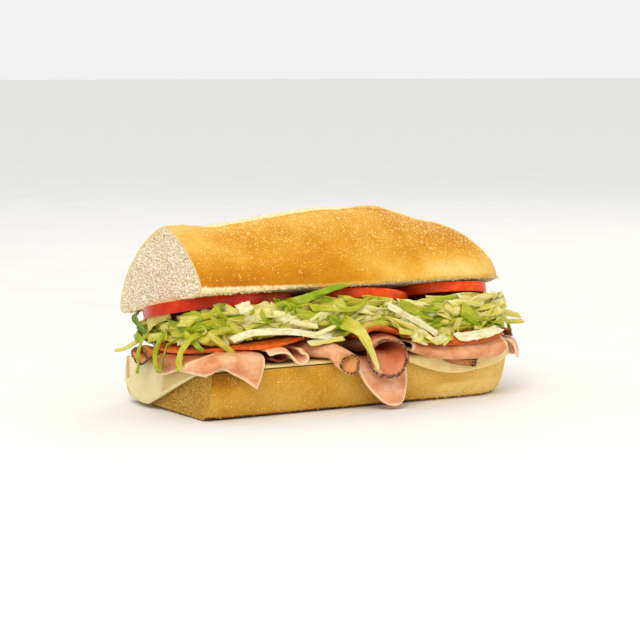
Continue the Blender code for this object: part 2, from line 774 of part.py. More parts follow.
ONIONS = (
    ("onion_long", ((-84, -45, 37.4), (-73, -47, 40.2), (-54, -48, 39.6), (-40, -48, 37.2), (-29, -47, 35.4)), 4.2, 20),
    ("onion_front", ((1.5, -49.5, 49.4), (10, -51.5, 44.6), (20, -52.8, 39.0), (28.4, -53.4, 33.8)), 3.6, -15),
    ("onion_low", ((41, -52.6, 31.2), (50, -52.4, 31.2), (60, -52.2, 32.2), (68, -51.4, 34.2)), 5.6, 49),
    ("onion_top", ((-80.5, -44.6, 51.8), (-77, -45.4, 52.6), (-73.6, -45.4, 53.4)), 5.0, 10),
)


def onions():
    """Strips of onion on and in front of the lettuce."""
    for name, path, width, roll in ONIONS:
        line = [Vector(place) for place in path]
        points, faces = ribbon(line, Vector((0.0, -1.0, 0.0)), width, ONION, 6, roll=roll)
        make_node(name, points, faces, "onion")


# Lettuce


def heap_top(x, y):
    """Upper face of the heap's core, below the tomato and the top half."""
    n = value_at(x, (-22.0, 8.0, 24.0, 56.0, 66.0), (-9.4, -12.0, -15.3, -15.3, -11.4))
    if x > -24.0:
        n += (-7.0 - n) * ease((y - 25.0) / 9.0)
    return Vector((x, y, under_lid(y, n)))


def heap_bottom(x, y):
    """Lower face of the heap's core, on the salami."""
    wider = VAULT_X + 0.8 * (x - VAULT_X)
    right = value_at(y, RIGHT_ACROSS, RIGHT_LEVELS) + 1.25 * vault(wider, y)
    left = left_level(x, y) - 7.0 * ease((x + 8.0) / 16.0)
    return Vector((x, y, max(left, right) + SALAMI / 2 + 2 * GAP))


def heap_outline(angle, grow=0.0):
    """Edge of the heap's core in plan."""
    c, s = math.cos(angle), math.sin(angle)
    r = (abs(c) ** HEAP_POWER + abs(s) ** HEAP_POWER) ** (-1 / HEAP_POWER)
    return HEAP_MIDDLE[0] + (HEAP_HALF_LENGTH + grow) * r * c, HEAP_MIDDLE[1] + (HEAP_HALF_DEPTH + grow) * r * s


def heap_core():
    """The heap without its loose strips."""
    return disc("lettuce", heap_outline, heap_top, heap_bottom, (0.35, 0.65, 0.86, 0.99), 36, "lettuce", bulge=0.012)


# Strips that stand out: path, width, roll, swirl, taper
NOTED_SHREDS = (
    (((-84, -7, 40), (-97, -7, 38.6), (-103.4, -7.4, 33), (-105.4, -8, 25), (-105.0, -11, 20.5),
      (-105.0, -15, 22), (-105.2, -17, 29), (-101, -18, 35), (-88, -19, 39)), 2.4, 0, 0, 1.0),
    (((-76, -27, 40), (-95, -30, 38.5), (-102.6, -31, 33), (-105.2, -32, 28), (-105.2, -33, 23)), 3.4, 0, 20, 0.7),
    (((-22, -34, 45), (-24, -47, 43), (-19, -55, 39), (-15.5, -59, 31), (-11.0, -60.6, 20)), 6.6, -30, 30, 0.4),
    (((-50, -34, 50), (-46, -43, 53.4), (-34, -44, 57.0), (-20, -43.6, 60.4)), 6.0, 25, 20, 0.5),
    (((66, -24, 42), (80, -27, 40.6), (90, -30, 38.6), (97.4, -30, 36.8)), 4.4, 0, 30, 0.6),
    (((-74, 16, 36), (-90, 19, 34.8), (-98.5, 22.4, 31.0), (-101.8, 29, 27.0), (-104, 37, 24.6)), 2.6, 0, 30, 0.7),
    (((-72, -31, 43), (-88, -41, 45.6), (-94, -43.5, 49.4), (-92, -44.5, 52.4), (-88.6, -43.5, 49), (-78, -34, 45)),
     2.2, 0, 0, 1.0),
)


def neighbour_trees():
    """Search trees of every piece that the lettuce has to stay clear of."""
    bpy.context.view_layer.update()
    trees = []
    for node in bpy.data.objects:
        if node.type == "MESH" and node.name != "lettuce":
            points = [(node.matrix_world @ v.co) / MM - Vector((0.0, 0.0, BASE_DROP)) for v in node.data.vertices]
            trees.append(BVHTree.FromPolygons(points, [tuple(p.vertices) for p in node.data.polygons]))
    return trees


def strip_tree(path, outward, width, thickness, segments, roll, swirl, taper, grow):
    """Search tree of a strip that is grown all round."""
    points, faces = ribbon(path, outward, width, thickness, segments, roll, swirl, taper, grow)
    return BVHTree.FromPolygons(points, faces)


def random_shred(rng, turn):
    """Path and form of a strip on the heap's side at the angle turn."""
    place = Vector(heap_outline(turn))
    ahead = Vector(heap_outline(turn + 0.02)) - Vector(heap_outline(turn - 0.02))
    along = Vector((ahead.x, ahead.y, 0.0)).normalized()
    outward = Vector((along.y, -along.x, 0.0))
    low = heap_bottom(*place).z
    high = heap_top(*place).z
    level = low + (high - low) * rng.uniform(0.1, 0.95)
    length = rng.uniform(18.0, 42.0)
    slope = math.radians(rng.uniform(-32.0, 32.0))
    heading = along * math.cos(slope) + Vector((0.0, 0.0, math.sin(slope)))
    if rng.random() < 0.5:
        heading = -heading
    middle = Vector((place.x, place.y, level)) + outward * rng.uniform(-1.0, 1.5)
    wave = rng.uniform(1.0, 3.4)
    phase = rng.uniform(0.0, 2 * math.pi)
    droop = rng.uniform(-1.0, 3.5)
    path = []
    for k in range(6):
        t = k / 5 - 0.5
        out = outward * (wave * math.cos(2.6 * math.pi * t + phase) + 3.2 * (0.25 - t * t) * 4 - 1.6)
        path.append(middle + heading * (length * t) + out - Vector((0.0, 0.0, droop * 4 * t * t)))
    width = rng.uniform(4.0, 7.0)
    return path, outward, width, rng.uniform(-50.0, 50.0), rng.uniform(-70.0, 70.0), rng.uniform(0.5, 1.0)


def shred_strips(core):
    """Noted and random strips that touch the core and clear every other piece."""
    rng = random.Random(SHRED_SEED)
    core_tree = BVHTree.FromPolygons([v.co / MM for v in core.data.vertices],
                                     [tuple(p.vertices) for p in core.data.polygons])
    trees = neighbour_trees()

    def fits(shape, segments):
        path, outward, width, roll, swirl, taper = shape
        grown = strip_tree(path, outward, width, SHRED, segments, roll, swirl, taper, GAP)
        if any(grown.overlap(tree) for tree in trees):
            return False
        return bool(strip_tree(path, outward, width, SHRED, segments, roll, swirl, taper, 0.0).overlap(core_tree))

    kept = []
    front = Vector((0.0, -1.0, 0.0))
    for k, (path, width, roll, swirl, taper) in enumerate(NOTED_SHREDS):
        line = [Vector(place) for place in path]
        side = Vector((-1.0, -0.3, 0.0)).normalized() if k in (0, 1, 5) else front
        shape = (line, side, width, roll, swirl, taper)
        if fits(shape, 8):
            kept.append((shape, 8))
        else:
            print("noted strip left out:", k)
    for k in range(SHRED_COUNT):
        turn = 2 * math.pi * (k + rng.uniform(-0.3, 0.3)) / SHRED_COUNT
        for _ in range(SHRED_TRIES):
            shape = random_shred(rng, turn)
            if fits(shape, 5):
                kept.append((shape, 5))
                break
    return kept


def keep_largest_body(mesh):
    """Drop the inner walls and scraps that a union leaves beside its body."""
    body = bmesh.new()
    body.from_mesh(mesh)
    left = set(body.verts)
    groups = []
    while left:
        stack = [left.pop()]
        group = set(stack)
        while stack:
            for edge in stack.pop().link_edges:
                for vert in edge.verts:
                    if vert in left:
                        left.discard(vert)
                        group.add(vert)
                        stack.append(vert)
        groups.append(group)
    largest = max(groups, key=len)
    spare = [vert for group in groups if group is not largest for vert in group]
    bmesh.ops.delete(body, geom=spare, context="VERTS")
    body.to_mesh(mesh)
    body.free()


def lettuce():
    """Core and strips, joined by one union."""
    core = heap_core()
    shapes = shred_strips(core)
    strips = bpy.data.collections.new("shreds")
    bpy.context.scene.collection.children.link(strips)
    for k, (shape, segments) in enumerate(shapes):
        path, outward, width, roll, swirl, taper = shape
        points, faces = ribbon(path, outward, width, SHRED, segments, roll, swirl, taper)
        strip = make_node(f"shred_{k}", points, faces, "lettuce")
        bpy.context.collection.objects.unlink(strip)
        strips.objects.link(strip)
    union = core.modifiers.new("union", "BOOLEAN")
    union.operation = "UNION"
    union.operand_type = "COLLECTION"
    union.collection = strips
    union.solver = "MANIFOLD"
    bpy.context.view_layer.update()
    joined = bpy.data.meshes.new_from_object(core.evaluated_get(bpy.context.evaluated_depsgraph_get()))
    core.modifiers.clear()
    keep_largest_body(joined)
    core.data = joined
    for strip in list(strips.objects):
        bpy.data.objects.remove(strip, do_unlink=True)
    bpy.data.collections.remove(strips)


def main():
    """Build the sandwich."""
    clear_scene()
    frame = bpy.data.objects.new("sandwich", None)
    bpy.context.collection.objects.link(frame)
    frame.location = (0.0, 0.0, BASE_DROP * MM)
    bun_bottom()
    bun_top()
    for slice_sizes in TOMATOES:
        tomato(*slice_sizes)
    cheese_left()
    cheese_right()
    ham_left()
    ham_fold()
    capicola()
    ham_curl()
    ham_roll()
    ham_cup()
    ham_tongue()
    ham_right()
    ham_end()
    peppered_roll()
    peppered_end()
    peppered_scrap()
    salami_left()
    salami_right()
    onions()
    lettuce()


main()
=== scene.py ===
"""Looks of a submarine sandwich: a crusty roll cut across at its left end,
filled with cheese, folded ham, salami, onion, shredded lettuce and tomato.

Lengths are in millimetres until a mesh is made, in metres, by show. Heights
are given from BASE_DROP above the roll's flat underside. +X runs along the
roll from the cut end to the rounded end, -Y is the open front, +Z is up.
"""

import math
import random

import bmesh
import bpy
import numpy as np
from mathutils import Matrix, Vector, noise
from mathutils.bvhtree import BVHTree


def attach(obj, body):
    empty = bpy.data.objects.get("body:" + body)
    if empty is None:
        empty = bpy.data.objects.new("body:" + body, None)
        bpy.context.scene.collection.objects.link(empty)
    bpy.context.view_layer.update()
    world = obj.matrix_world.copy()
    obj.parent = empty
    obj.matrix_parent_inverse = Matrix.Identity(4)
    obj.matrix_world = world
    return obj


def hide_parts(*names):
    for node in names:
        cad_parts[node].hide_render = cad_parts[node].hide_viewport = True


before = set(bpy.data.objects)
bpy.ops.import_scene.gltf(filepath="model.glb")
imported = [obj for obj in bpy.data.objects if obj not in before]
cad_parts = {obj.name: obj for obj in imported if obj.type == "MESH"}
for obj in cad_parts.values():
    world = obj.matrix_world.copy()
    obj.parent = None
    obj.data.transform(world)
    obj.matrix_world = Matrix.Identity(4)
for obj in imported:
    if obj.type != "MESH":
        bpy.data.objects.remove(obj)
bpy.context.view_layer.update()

# Metres in a millimetre, and the gap kept between neighbours
MM = 0.001
GAP = 0.3

# Roll
ROLL_LENGTH = 191.0
CUT_END = -ROLL_LENGTH / 2
TIP = ROLL_LENGTH / 2
HALF_WIDTH = 46.0
REAR_HALF_WIDTH = 44.5
REAR_SHOULDER = 3.2
ROUND_LENGTH = 36.0
ROUND_START = TIP - ROUND_LENGTH
ROUND_POWER = 2.2

# Bottom half
BASE_DROP = 1.6
FRONT_HEIGHT = 22.0
REAR_HEIGHT = 21.0
BASE_INSET = 9.5
HEEL_LIFT = 2.4
HEEL_LENGTH = 14.0

# Top half, in its own tilted frame: v runs across it and n stands on its cut
LID_TILT = math.radians(11.3)
LID_SHIFT = 5.0
LID_LEVEL = 52.7
LID_HALF_WIDTH = 42.6
LID_CREST_ACROSS = -12.0
LID_CRUMB = 2.4
LID_POWER = 2.3
LID_SHORT = 2.0
CREST_X = (-95.5, -78.0, -55.5, -32.5, -9.5, 8.5, 29.5, 38.5, 51.5, 60.5, 70.5, 80.0, 88.0, 95.5)
CREST_HEIGHT = (34.7, 34.3, 36.8, 39.8, 41.8, 41.8, 39.8, 36.4, 32.0, 30.4, 26.8, 21.0, 14.4, 6.4)

# Slit along the top, the end of the pale band under the crust along the roll,
# and the height of the torn crust above it
SCORE_SWELL = 1.6
SCORE_FRONT = -16.0
SCORE_REAR = 0.0
BAND_END = -30.0
TORN_HEIGHT = 1.2

# Slant of the pores in the crumb, in radians
PORE_SLANT = 0.66

# Slices and strips: thickness
CHEESE = 2.0
HAM = 1.4
THIN_HAM = 1.3
SALAMI = 1.6
ONION = 1.1

# Radius of the cheese's bend over an edge
CHEESE_BEND = 2.3

# Distance from the rim that the middle of a round face is marked with
FAR_FROM_RIM = 100.0

# A lobe folded over its own slice: share of the slice's length, and depth
FOLD_REACH = 0.02
FOLD_DEPTH = 0.4

# Tomato slices: name, middle along and across, radius, thickness, droop at
# the right end, and the direction and distance of a straight cut
TOMATOES = (
    ("tomato_left", -65.4, 1.6, 36.6, 5.6, 0.0, (math.radians(-73.7), 33.4)),
    ("tomato_middle", 6.9, -7.0, 29.6, 4.9, 6.6, None),
    ("tomato_right", 57.6, -10.0, 26.0, 5.0, 2.6, None),
)

# Heap of shredded lettuce. A shred paler than RIB_TONE counts as a rib. Of the
# random ones APRON_COUNT drape over the meat, and none rises more than
# SHRED_RISE past the heap or comes below CLEAR_BELOW past CLEAR_END
HEAP_MIDDLE = (-2.5, -0.5)
HEAP_HALF_LENGTH = 88.0
HEAP_HALF_DEPTH = 39.0
HEAP_POWER = 4.0
SHRED_COUNT = 420
APRON_COUNT = 90
SHRED_TRIES = 14
RIB_TONE = 0.36
SHRED_RISE = 1.4
SHRED_TONES = ((0.0, 0.15), (0.1, 0.3), (0.2, 0.5), (0.4, 0.75))
CLEAR_END = 72.0
CLEAR_BELOW = 37.0
SHRED_FORM = {"width": (3.4, 8.0), "roll": (-42.0, 42.0), "swirl": (-80.0, 80.0), "taper": (0.5, 1.1),
              "cup": (-0.7, 0.7), "ruffle": (0.2, 1.2), "trend": (-0.3, 0.3), "odd": (0.0, 60.0)}
LEAF_ROWS = 18
LEAF_COLUMNS = (-1.0, -0.62, -0.2, 0.2, 0.62, 1.0)
LEAF_MARKS = ("tone", "along", "across", "odd")

# Grains and crumbs: how many, how far the pepper strays, and half lengths
TOP_GRAINS = 15500
BOTTOM_GRAINS = 1900
CRUMBS = 900
PEPPER_PER_MM = 3.6
PEPPER_SPREAD = 0.26
END_PEPPER = 36
SCRAP_PEPPER = 70
GRAIN_SIZE = (0.16, 0.46)
PEPPER_SIZE = (0.16, 0.42)

# Seeds of the random draws
LETTUCE_SEED = 11
CORNMEAL_SEED = 5
PEPPER_SEED = 9
CRUMB_SEED = 3

# Crust colours on screen, from pale to brown
BOTTOM_CRUST = ((240, 202, 118), (222, 176, 78), (204, 148, 40), (168, 104, 12), (96, 52, 6))
TOP_CRUST = ((244, 210, 126), (232, 178, 70), (212, 144, 20), (188, 112, 0), (138, 74, 0))

# Steps of the meshes: along the straight roll and round its end, up and
# across the bottom half, over and under the top half, and into the crumb
STRAIGHT_STEPS = 150
BOTTOM_TURN_STEPS = 64
TOP_TURN_STEPS = 60
BOTTOM_LAYERS = 34
CUT_STEPS = 110
OVER_STEPS = 116
UNDER_STEPS = 44
CRUMB_RINGS = 74

# Stage, in metres: the lamps are given by name, place, size and power
FLOOR_REACH = 30.0
LAMPS = (("key", (-0.9, -0.9, 1.3), 0.7, 13.0), ("rim", (0.9, 0.7, 1.1), 0.6, 3.0))
LAMP_COLOUR = (1.0, 0.93, 0.82)
SKY_STRENGTH = 0.88

# Camera: turned and raised from the open front and aimed at SUBJECT, which
# shows some pixels right of and above the picture's middle
AZIMUTH = math.radians(-32.0)
ELEVATION = math.radians(6.5)
DISTANCE = 1.122
PICTURE = 640
FOCUS = 2204.0
SUBJECT = Vector((0.0035, 0.001, 0.0536))
SUBJECT_RIGHT = 16.0
SUBJECT_UP = 29.0
SENSOR = 36.0


# Curves and surfaces


def ease(t):
    """0 to 1 with a soft start and end."""
    t = min(max(t, 0.0), 1.0)
    return t * t * (3 - 2 * t)


def curve_at(points, t):
    """The value at t, from 0 to 1, on a smooth curve through points."""
    spans = len(points) - 1
    place = min(max(t, 0.0), 1.0) * spans
    i = min(int(place), spans - 1)
    f = place - i
    b, c = points[i], points[i + 1]
    a = points[i - 1] if i else b * 2 - c
    d = points[i + 2] if i + 2 <= spans else c * 2 - b
    bend = (a * 2 - b * 5 + c * 4 - d) * (f * f)
    twist = (b * 3 - a - c * 3 + d) * (f * f * f)
    return (b * 2 + (c - a) * f + bend + twist) * 0.5


def value_at(x, places, values):
    """Straight-line reading of values at x."""
    return float(np.interp(x, places, values))


def even(count):
    """Stations from 0 to 1 in count equal steps."""
    return [k / count for k in range(count + 1)]


def over_grid(rows, columns, make):
    """Values of make(s, t) at the corners of a grid of steps."""
    return np.array([[make(s, t) for t in even(columns)] for s in even(rows)])


def rails_surface(rails):
    """Surface through several curves: s goes across them and t along them."""
    curves = [[Vector(p) for p in rail] for rail in rails]

    def surface(s, t):
        return curve_at([curve_at(curve, t) for curve in curves], s)

    return surface


def rough(point, size):
    """Soft unevenness between about -1 and 1, with waves of that size."""
    return noise.noise(Vector(point) / size)


# Meshes


def show(name, points, faces, materials, node=None, skins=None, marks=None, sharp=50.0):
    """One piece of the dressed sandwich, which stands for a CAD node if one
    is named. skins is each face's material and marks hold values per point."""
    mesh = bpy.data.meshes.new(name)
    places = (np.array([tuple(p) for p in points]) + (0.0, 0.0, BASE_DROP)) * MM
    mesh.from_pydata(places.tolist(), [], faces)
    for finish in materials:
        mesh.materials.append(finish)
    if skins is not None:
        mesh.polygons.foreach_set("material_index", skins)
    for mark, values in (marks or {}).items():
        layer = mesh.attributes.new(mark, "FLOAT", "POINT")
        layer.data.foreach_set("value", np.asarray(values, np.float32))
    tidy = bmesh.new()
    tidy.from_mesh(mesh)
    bmesh.ops.recalc_face_normals(tidy, faces=tidy.faces)
    tidy.to_mesh(mesh)
    tidy.free()
    mesh.shade_smooth()
    mesh.set_sharp_from_angle(angle=math.radians(sharp))
    piece = bpy.data.objects.new(name, mesh)
    bpy.context.scene.collection.objects.link(piece)
    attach(piece, "root")
    if node:
        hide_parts(node)
    return piece


def grid_normals(grid):
    """Unit normals of a grid of points."""
    across = np.cross(np.gradient(grid, axis=0), np.gradient(grid, axis=1))
    return across / np.maximum(np.linalg.norm(across, axis=2, keepdims=True), 1e-9)


def rim_distance(grid):
    """Distance of each point of a grid to its nearest border, along the grid."""
    down = np.linalg.norm(np.diff(grid, axis=0), axis=2)
    over = np.linalg.norm(np.diff(grid, axis=1), axis=2)
    height, width = grid.shape[:2]
    from_top = np.vstack([np.zeros((1, width)), np.cumsum(down, axis=0)])
    from_left = np.hstack([np.zeros((height, 1)), np.cumsum(over, axis=1)])
    return np.minimum.reduce([from_top, from_top[-1:] - from_top, from_left, from_left[:, -1:] - from_left])


def grid_faces(height, width):
    """Faces of a thin closed slice: two grids of points joined at the rim."""
    layer = width * height
    faces = []
    for i in range(height - 1):
        for j in range(width - 1):
            a = i * width + j
            b, c, d = a + 1, a + width + 1, a + width
            faces += [(a, b, c, d), (layer + a, layer + d, layer + c, layer + b)]
    rim = list(range(width))
    rim += [i * width + width - 1 for i in range(1, height)]
    rim += [(height - 1) * width + j for j in range(width - 2, -1, -1)]
    rim += [i * width for i in range(height - 2, 0, -1)]
    for k, a in enumerate(rim):
        b = rim[(k + 1) % len(rim)]
        faces.append((a, layer + a, layer + b, b))
    return faces


def sheet(node, surface, rows, columns, thickness, finish, wave=0.0, wave_size=9.0, shade=None,
          fold=None):
    """A slice of even thickness on a surface, thinner at its rim, uneven by
    wave. Each point is marked with its distance from the rim and with its
    painted shade, shade(s, t). fold(s) is the t where a lobe is folded over the part before it, which gets
    painted shade."""
    grid = over_grid(rows, columns, lambda s, t: tuple(surface(s, t)))
    rim = rim_distance(grid)
    normals = grid_normals(grid)
    shades = np.zeros(rim.shape)
    if wave:
        lift = np.array([[rough(p, wave_size) + 0.4 * rough(p, wave_size / 3) for p in row] for row in grid])
        grid = grid + normals * (lift * wave)[..., None]
    if shade:
        shades = over_grid(rows, columns, shade)
    if fold:
        past = over_grid(rows, columns, lambda s, t: t - fold(s))
        # Painted shade on the part before the fold, which also sinks behind a lip.
        shades = np.clip(-past / FOLD_REACH, 0.0, 1.0)
        lip = np.exp(-((past / FOLD_REACH - 0.8) ** 2))
        grid = grid + normals * (FOLD_DEPTH * shades - FOLD_DEPTH * lip)[..., None]
        rim = np.where(past > 0, np.minimum(rim, past / FOLD_REACH), rim)
    half = thickness / 2 * (0.55 + 0.45 * np.minimum(rim / 0.8, 1.0))[..., None]
    points = np.concatenate([(grid + normals * half).reshape(-1, 3), (grid - normals * half).reshape(-1, 3)])
    marks = {"rim": np.tile(rim.ravel(), 2), "shade": np.tile(shades.ravel(), 2)}
    return show(f"{node}_look", points, grid_faces(rows + 1, columns + 1), [finish], node, marks=marks)


def ring_faces(rings, sides):
    """Quads that join each ring of points to the next."""
    faces = []
    for start, end in zip(rings, rings[1:]):
        for k in range(sides):
            m = (k + 1) % sides
            faces.append((start + k, start + m, end + m, end + k))
    return faces


def fan(hub, start, sides):
    """Triangles from a hub to the ring of points that begins at start."""
    return [(hub, start + k, start + (k + 1) % sides) for k in range(sides)]


def disc(node, outline, upper, lower, fractions, sides, finish, bulge=0.0, reliefs=None, paint=None):
    """A round piece. outline(angle) is its edge in plan, and upper(x, y) and
    lower(x, y) are its faces; bulge is how far its rim's middle stands out."""
    edge = [Vector(outline(2 * math.pi * k / sides)) for k in range(sides)]
    middle = sum(edge, Vector((0.0, 0.0))) / sides
    points, rings, rims = [], [], []

    def ring(make, fraction, stand=0.0):
        rings.append(len(points))
        for place in edge:
            x, y = middle + (place - middle) * (fraction + stand)
            point = make(x, y)
            if reliefs:
                point = point + reliefs(point, fraction)
            points.append(point)
            rims.append((place - middle).length * (1.0 - fraction))

    for fraction in fractions:
        ring(upper, fraction)
    if bulge:
        for blend, stand in ((0.2, 0.7), (0.5, 1.0), (0.8, 0.7)):
            ring(lambda x, y, f=blend: upper(x, y).lerp(lower(x, y), f), 1.0, bulge * stand)
    for fraction in reversed(fractions):
        ring(lower, fraction)
    faces = ring_faces(rings, sides)
    for start, face in ((rings[0], upper), (rings[-1], lower)):
        hub = len(points)
        points.append(face(*middle))
        rims.append(FAR_FROM_RIM)
        faces += fan(hub, start, sides)
    marks = {"rim": rims}
    if paint:
        marks.update(paint(points, rims))
    return show(f"{node}_look", points, faces, [finish], node, marks=marks)


def faces_of(surface, thickness):
    """Upper and lower faces of a slice round its middle surface(x, y)."""
    reach = 0.5

    def face(lift):
        def at(x, y):
            along = surface(x + reach, y) - surface(x - reach, y)
            across = surface(x, y + reach) - surface(x, y - reach)
            return surface(x, y) + along.cross(across).normalized() * lift

        return at

    return face(thickness / 2), face(-thickness / 2)


def shell_tube(node, stations, sides, steps, wall, depth, finish, ragged=0.0):
    """A rolled slice, open at its mouth. A station is a middle, a half width,
    a half height and a facing. The marks are the distance from the mouth and
    whether a point is inside. Returns the points round the mouth."""
    spans = len(stations) - 1
    centres = [Vector(s[0]) for s in stations]
    wides = [s[1] for s in stations]
    highs = [s[2] for s in stations]
    facings = [Vector(s[3]).normalized() for s in stations]
    points, rings, rims, inner = [], [], [], []

    def ring(t, shrink, inside):
        facing = curve_at(facings, t).normalized()
        side = facing.cross(Vector((0.0, 0.0, 1.0))).normalized()
        upward = side.cross(facing)
        centre = curve_at(centres, t)
        wide, high = curve_at(wides, t), curve_at(highs, t)
        rings.append(len(points))
        for k in range(sides):
            angle = 2 * math.pi * k / sides
            swell = 1 + 0.03 * math.sin(3 * angle + 1.0)
            out = side * (math.cos(angle) * (wide * swell - shrink))
            out += upward * (math.sin(angle) * (high * swell - shrink))
            point = centre + out
            if ragged:
                near = max(0.0, 1.0 - t * spans)
                point = point + facing * (ragged * near * (math.sin(3 * angle + 0.8) + 0.5 * rough(out, 2.5)))
                point = point + out.normalized() * (0.35 * rough(point, 5.0))
            points.append(point)
            rims.append((centre - centres[0]).length)
            inner.append(inside)

    inside_end = (depth - 1) / spans
    for k in range(steps, -1, -1):
        ring((k / steps) ** 1.5, 0.0, 0.0)
    ring(0.0, wall * 0.5, 0.5)
    for k in range(steps + 1):
        ring(inside_end * (k / steps) ** 1.3, wall, 1.0)
    faces = ring_faces(rings, sides)
    for start in (rings[0], rings[-1]):
        hub = len(points)
        points.append(sum((points[start + k] for k in range(sides)), Vector()) / sides)
        rims.append(FAR_FROM_RIM)
        inner.append(1.0)
        faces += fan(hub, start, sides)
    show(f"{node}_look", points, faces, [finish], node, marks={"rim": rims, "inner": inner})
    mouth = rings[steps + 1]
    return points[mouth:mouth + sides]


# Materials


def srgb(red, green, blue):
    """Linear colour of a screen colour given from 0 to 255."""
    parts = [c / 255 for c in (red, green, blue)]
    return tuple(((c + 0.055) / 1.055) ** 2.4 if c > 0.04 else c / 12.92 for c in parts) + (1.0,)


class Finish:
    """A Principled material and short ways to build its node tree."""

    def __init__(self, name, **settings):
        self.material = bpy.data.materials.new(name)
        self.material.use_nodes = True
        self.tree = self.material.node_tree
        self.shader = self.tree.nodes["Principled BSDF"]
        for socket, value in settings.items():
            self.shader.inputs[socket.replace("_", " ")].default_value = value

    def node(self, kind, inputs=(), **settings):
        """A node with its settings, and its inputs linked or set."""
        made = self.tree.nodes.new(kind)
        for name, value in settings.items():
            setattr(made, name, value)
        for socket, value in inputs:
            if isinstance(value, bpy.types.NodeSocket):
                self.tree.links.new(value, made.inputs[socket])
            else:
                made.inputs[socket].default_value = value
        return made

    def places(self, stretch=(1.0, 1.0, 1.0), turn=(0.0, 0.0, 0.0)):
        """Places in the object, stretched and turned."""
        coordinates = self.node("ShaderNodeTexCoord").outputs["Object"]
        inputs = [("Vector", coordinates), ("Scale", stretch), ("Rotation", turn)]
        return self.node("ShaderNodeMapping", inputs).outputs["Vector"]

    def mark(self, name):
        """A value that is kept with the mesh's points."""
        return self.node("ShaderNodeAttribute", attribute_name=name).outputs["Fac"]

    def noise(self, size, detail=3.0, roughness=0.55, places=None):
        """Cloudy noise whose lumps are about size millimetres."""
        inputs = [("Vector", places or self.places()), ("Scale", 1.0 / (size * MM)), ("Detail", detail),
                  ("Roughness", roughness)]
        return self.node("ShaderNodeTexNoise", inputs).outputs["Fac"]

    def cells(self, size):
        """Distance to the middle of the nearest cell of about size millimetres."""
        inputs = [("Vector", self.places()), ("Scale", 1.0 / (size * MM))]
        return self.node("ShaderNodeTexVoronoi", inputs).outputs["Distance"]

    def sum(self, first, second, operation="ADD"):
        """Two values, added or joined by another operation."""
        return self.node("ShaderNodeMath", [(0, first), (1, second)], operation=operation).outputs[0]

    def times(self, first, second):
        """Product of two values."""
        return self.sum(first, second, "MULTIPLY")

    def between(self, value, low, high):
        """0 below low to 1 above high."""
        inputs = [("Value", value), ("From Min", low), ("From Max", high)]
        return self.node("ShaderNodeMapRange", inputs).outputs[0]

    def swing(self, value, amount):
        """A value round 0 that swings by amount as value runs from 0 to 1."""
        return self.times(self.sum(value, -0.5), amount)

    def near_rim(self, low, high):
        """1 up to low millimetres from the rim, and 0 beyond high."""
        return self.sum(1.0, self.between(self.mark("rim"), low, high), "SUBTRACT")

    def ramp(self, value, *stops):
        """Colours that value runs through: pairs of a place and a colour."""
        made = self.node("ShaderNodeValToRGB", [("Fac", value)])
        bar = made.color_ramp.elements
        while len(bar) < len(stops):
            bar.new(0.5)
        for element, (place, colour) in zip(bar, stops):
            element.position = place
            element.color = srgb(*colour)
        return made.outputs["Color"]

    def mix(self, share, first, second):
        """Blend of two colours."""
        made = self.node("ShaderNodeMix", data_type="RGBA")
        for socket, value in ((made.inputs[0], share), (made.inputs[6], first), (made.inputs[7], second)):
            if isinstance(value, bpy.types.NodeSocket):
                self.tree.links.new(value, socket)
            else:
                socket.default_value = srgb(*value) if isinstance(value, tuple) else value
        return made.outputs[2]

    def colour(self, value):
        """Link the base colour."""
        self.tree.links.new(value, self.shader.inputs["Base Color"])

    def gloss(self, value, low, high):
        """Roughness that varies with value."""
        inputs = [("Value", value), ("To Min", low), ("To Max", high)]
        varied = self.node("ShaderNodeMapRange", inputs).outputs[0]
        self.tree.links.new(varied, self.shader.inputs["Roughness"])

    def bump(self, height, depth):
        """Fine relief depth millimetres deep."""
        made = self.node("ShaderNodeBump", [("Height", height), ("Distance", depth * MM), ("Strength", 1.0)])
        self.tree.links.new(made.outputs["Normal"], self.shader.inputs["Normal"])


def soften(finish, weight, depth):
    """Light that passes a little way into the food."""
    finish.shader.inputs["Subsurface Weight"].default_value = weight
    finish.shader.inputs["Subsurface Scale"].default_value = depth * MM
    finish.shader.inputs["Subsurface Radius"].default_value = (1.0, 0.5, 0.25)


def crust_finish(name, colours):
    """Satin golden crust in five colours, by its bake mark, which on the top half
    also holds painted sheen, and pale where the slit opened."""
    made = Finish(name, Roughness=0.5, Specular_IOR_Level=0.12)
    cloud = made.noise(14.0, 5.0, 0.6)
    speck = made.noise(1.1, 3.0, 0.7)
    # The bake mark is the crust's browning, with painted sheen high on the top half's crest.
    brown = made.sum(made.sum(made.mark("bake_and_sheen"), made.swing(cloud, 0.5)), made.swing(speck, 0.45))
    baked = made.ramp(brown, *zip(even(4), colours))
    torn = made.ramp(made.noise(1.6, 5.0, 0.75), (0.34, (228, 190, 112)), (0.5, (244, 226, 172)),
                     (0.66, (252, 242, 208)))
    made.colour(made.mix(made.mark("score"), baked, torn))
    made.gloss(cloud, 0.4, 0.6)
    made.bump(made.sum(made.noise(0.8, 4.0, 0.7), made.times(made.noise(3.5, 2.0), 1.5)), 0.16)
    return made.material


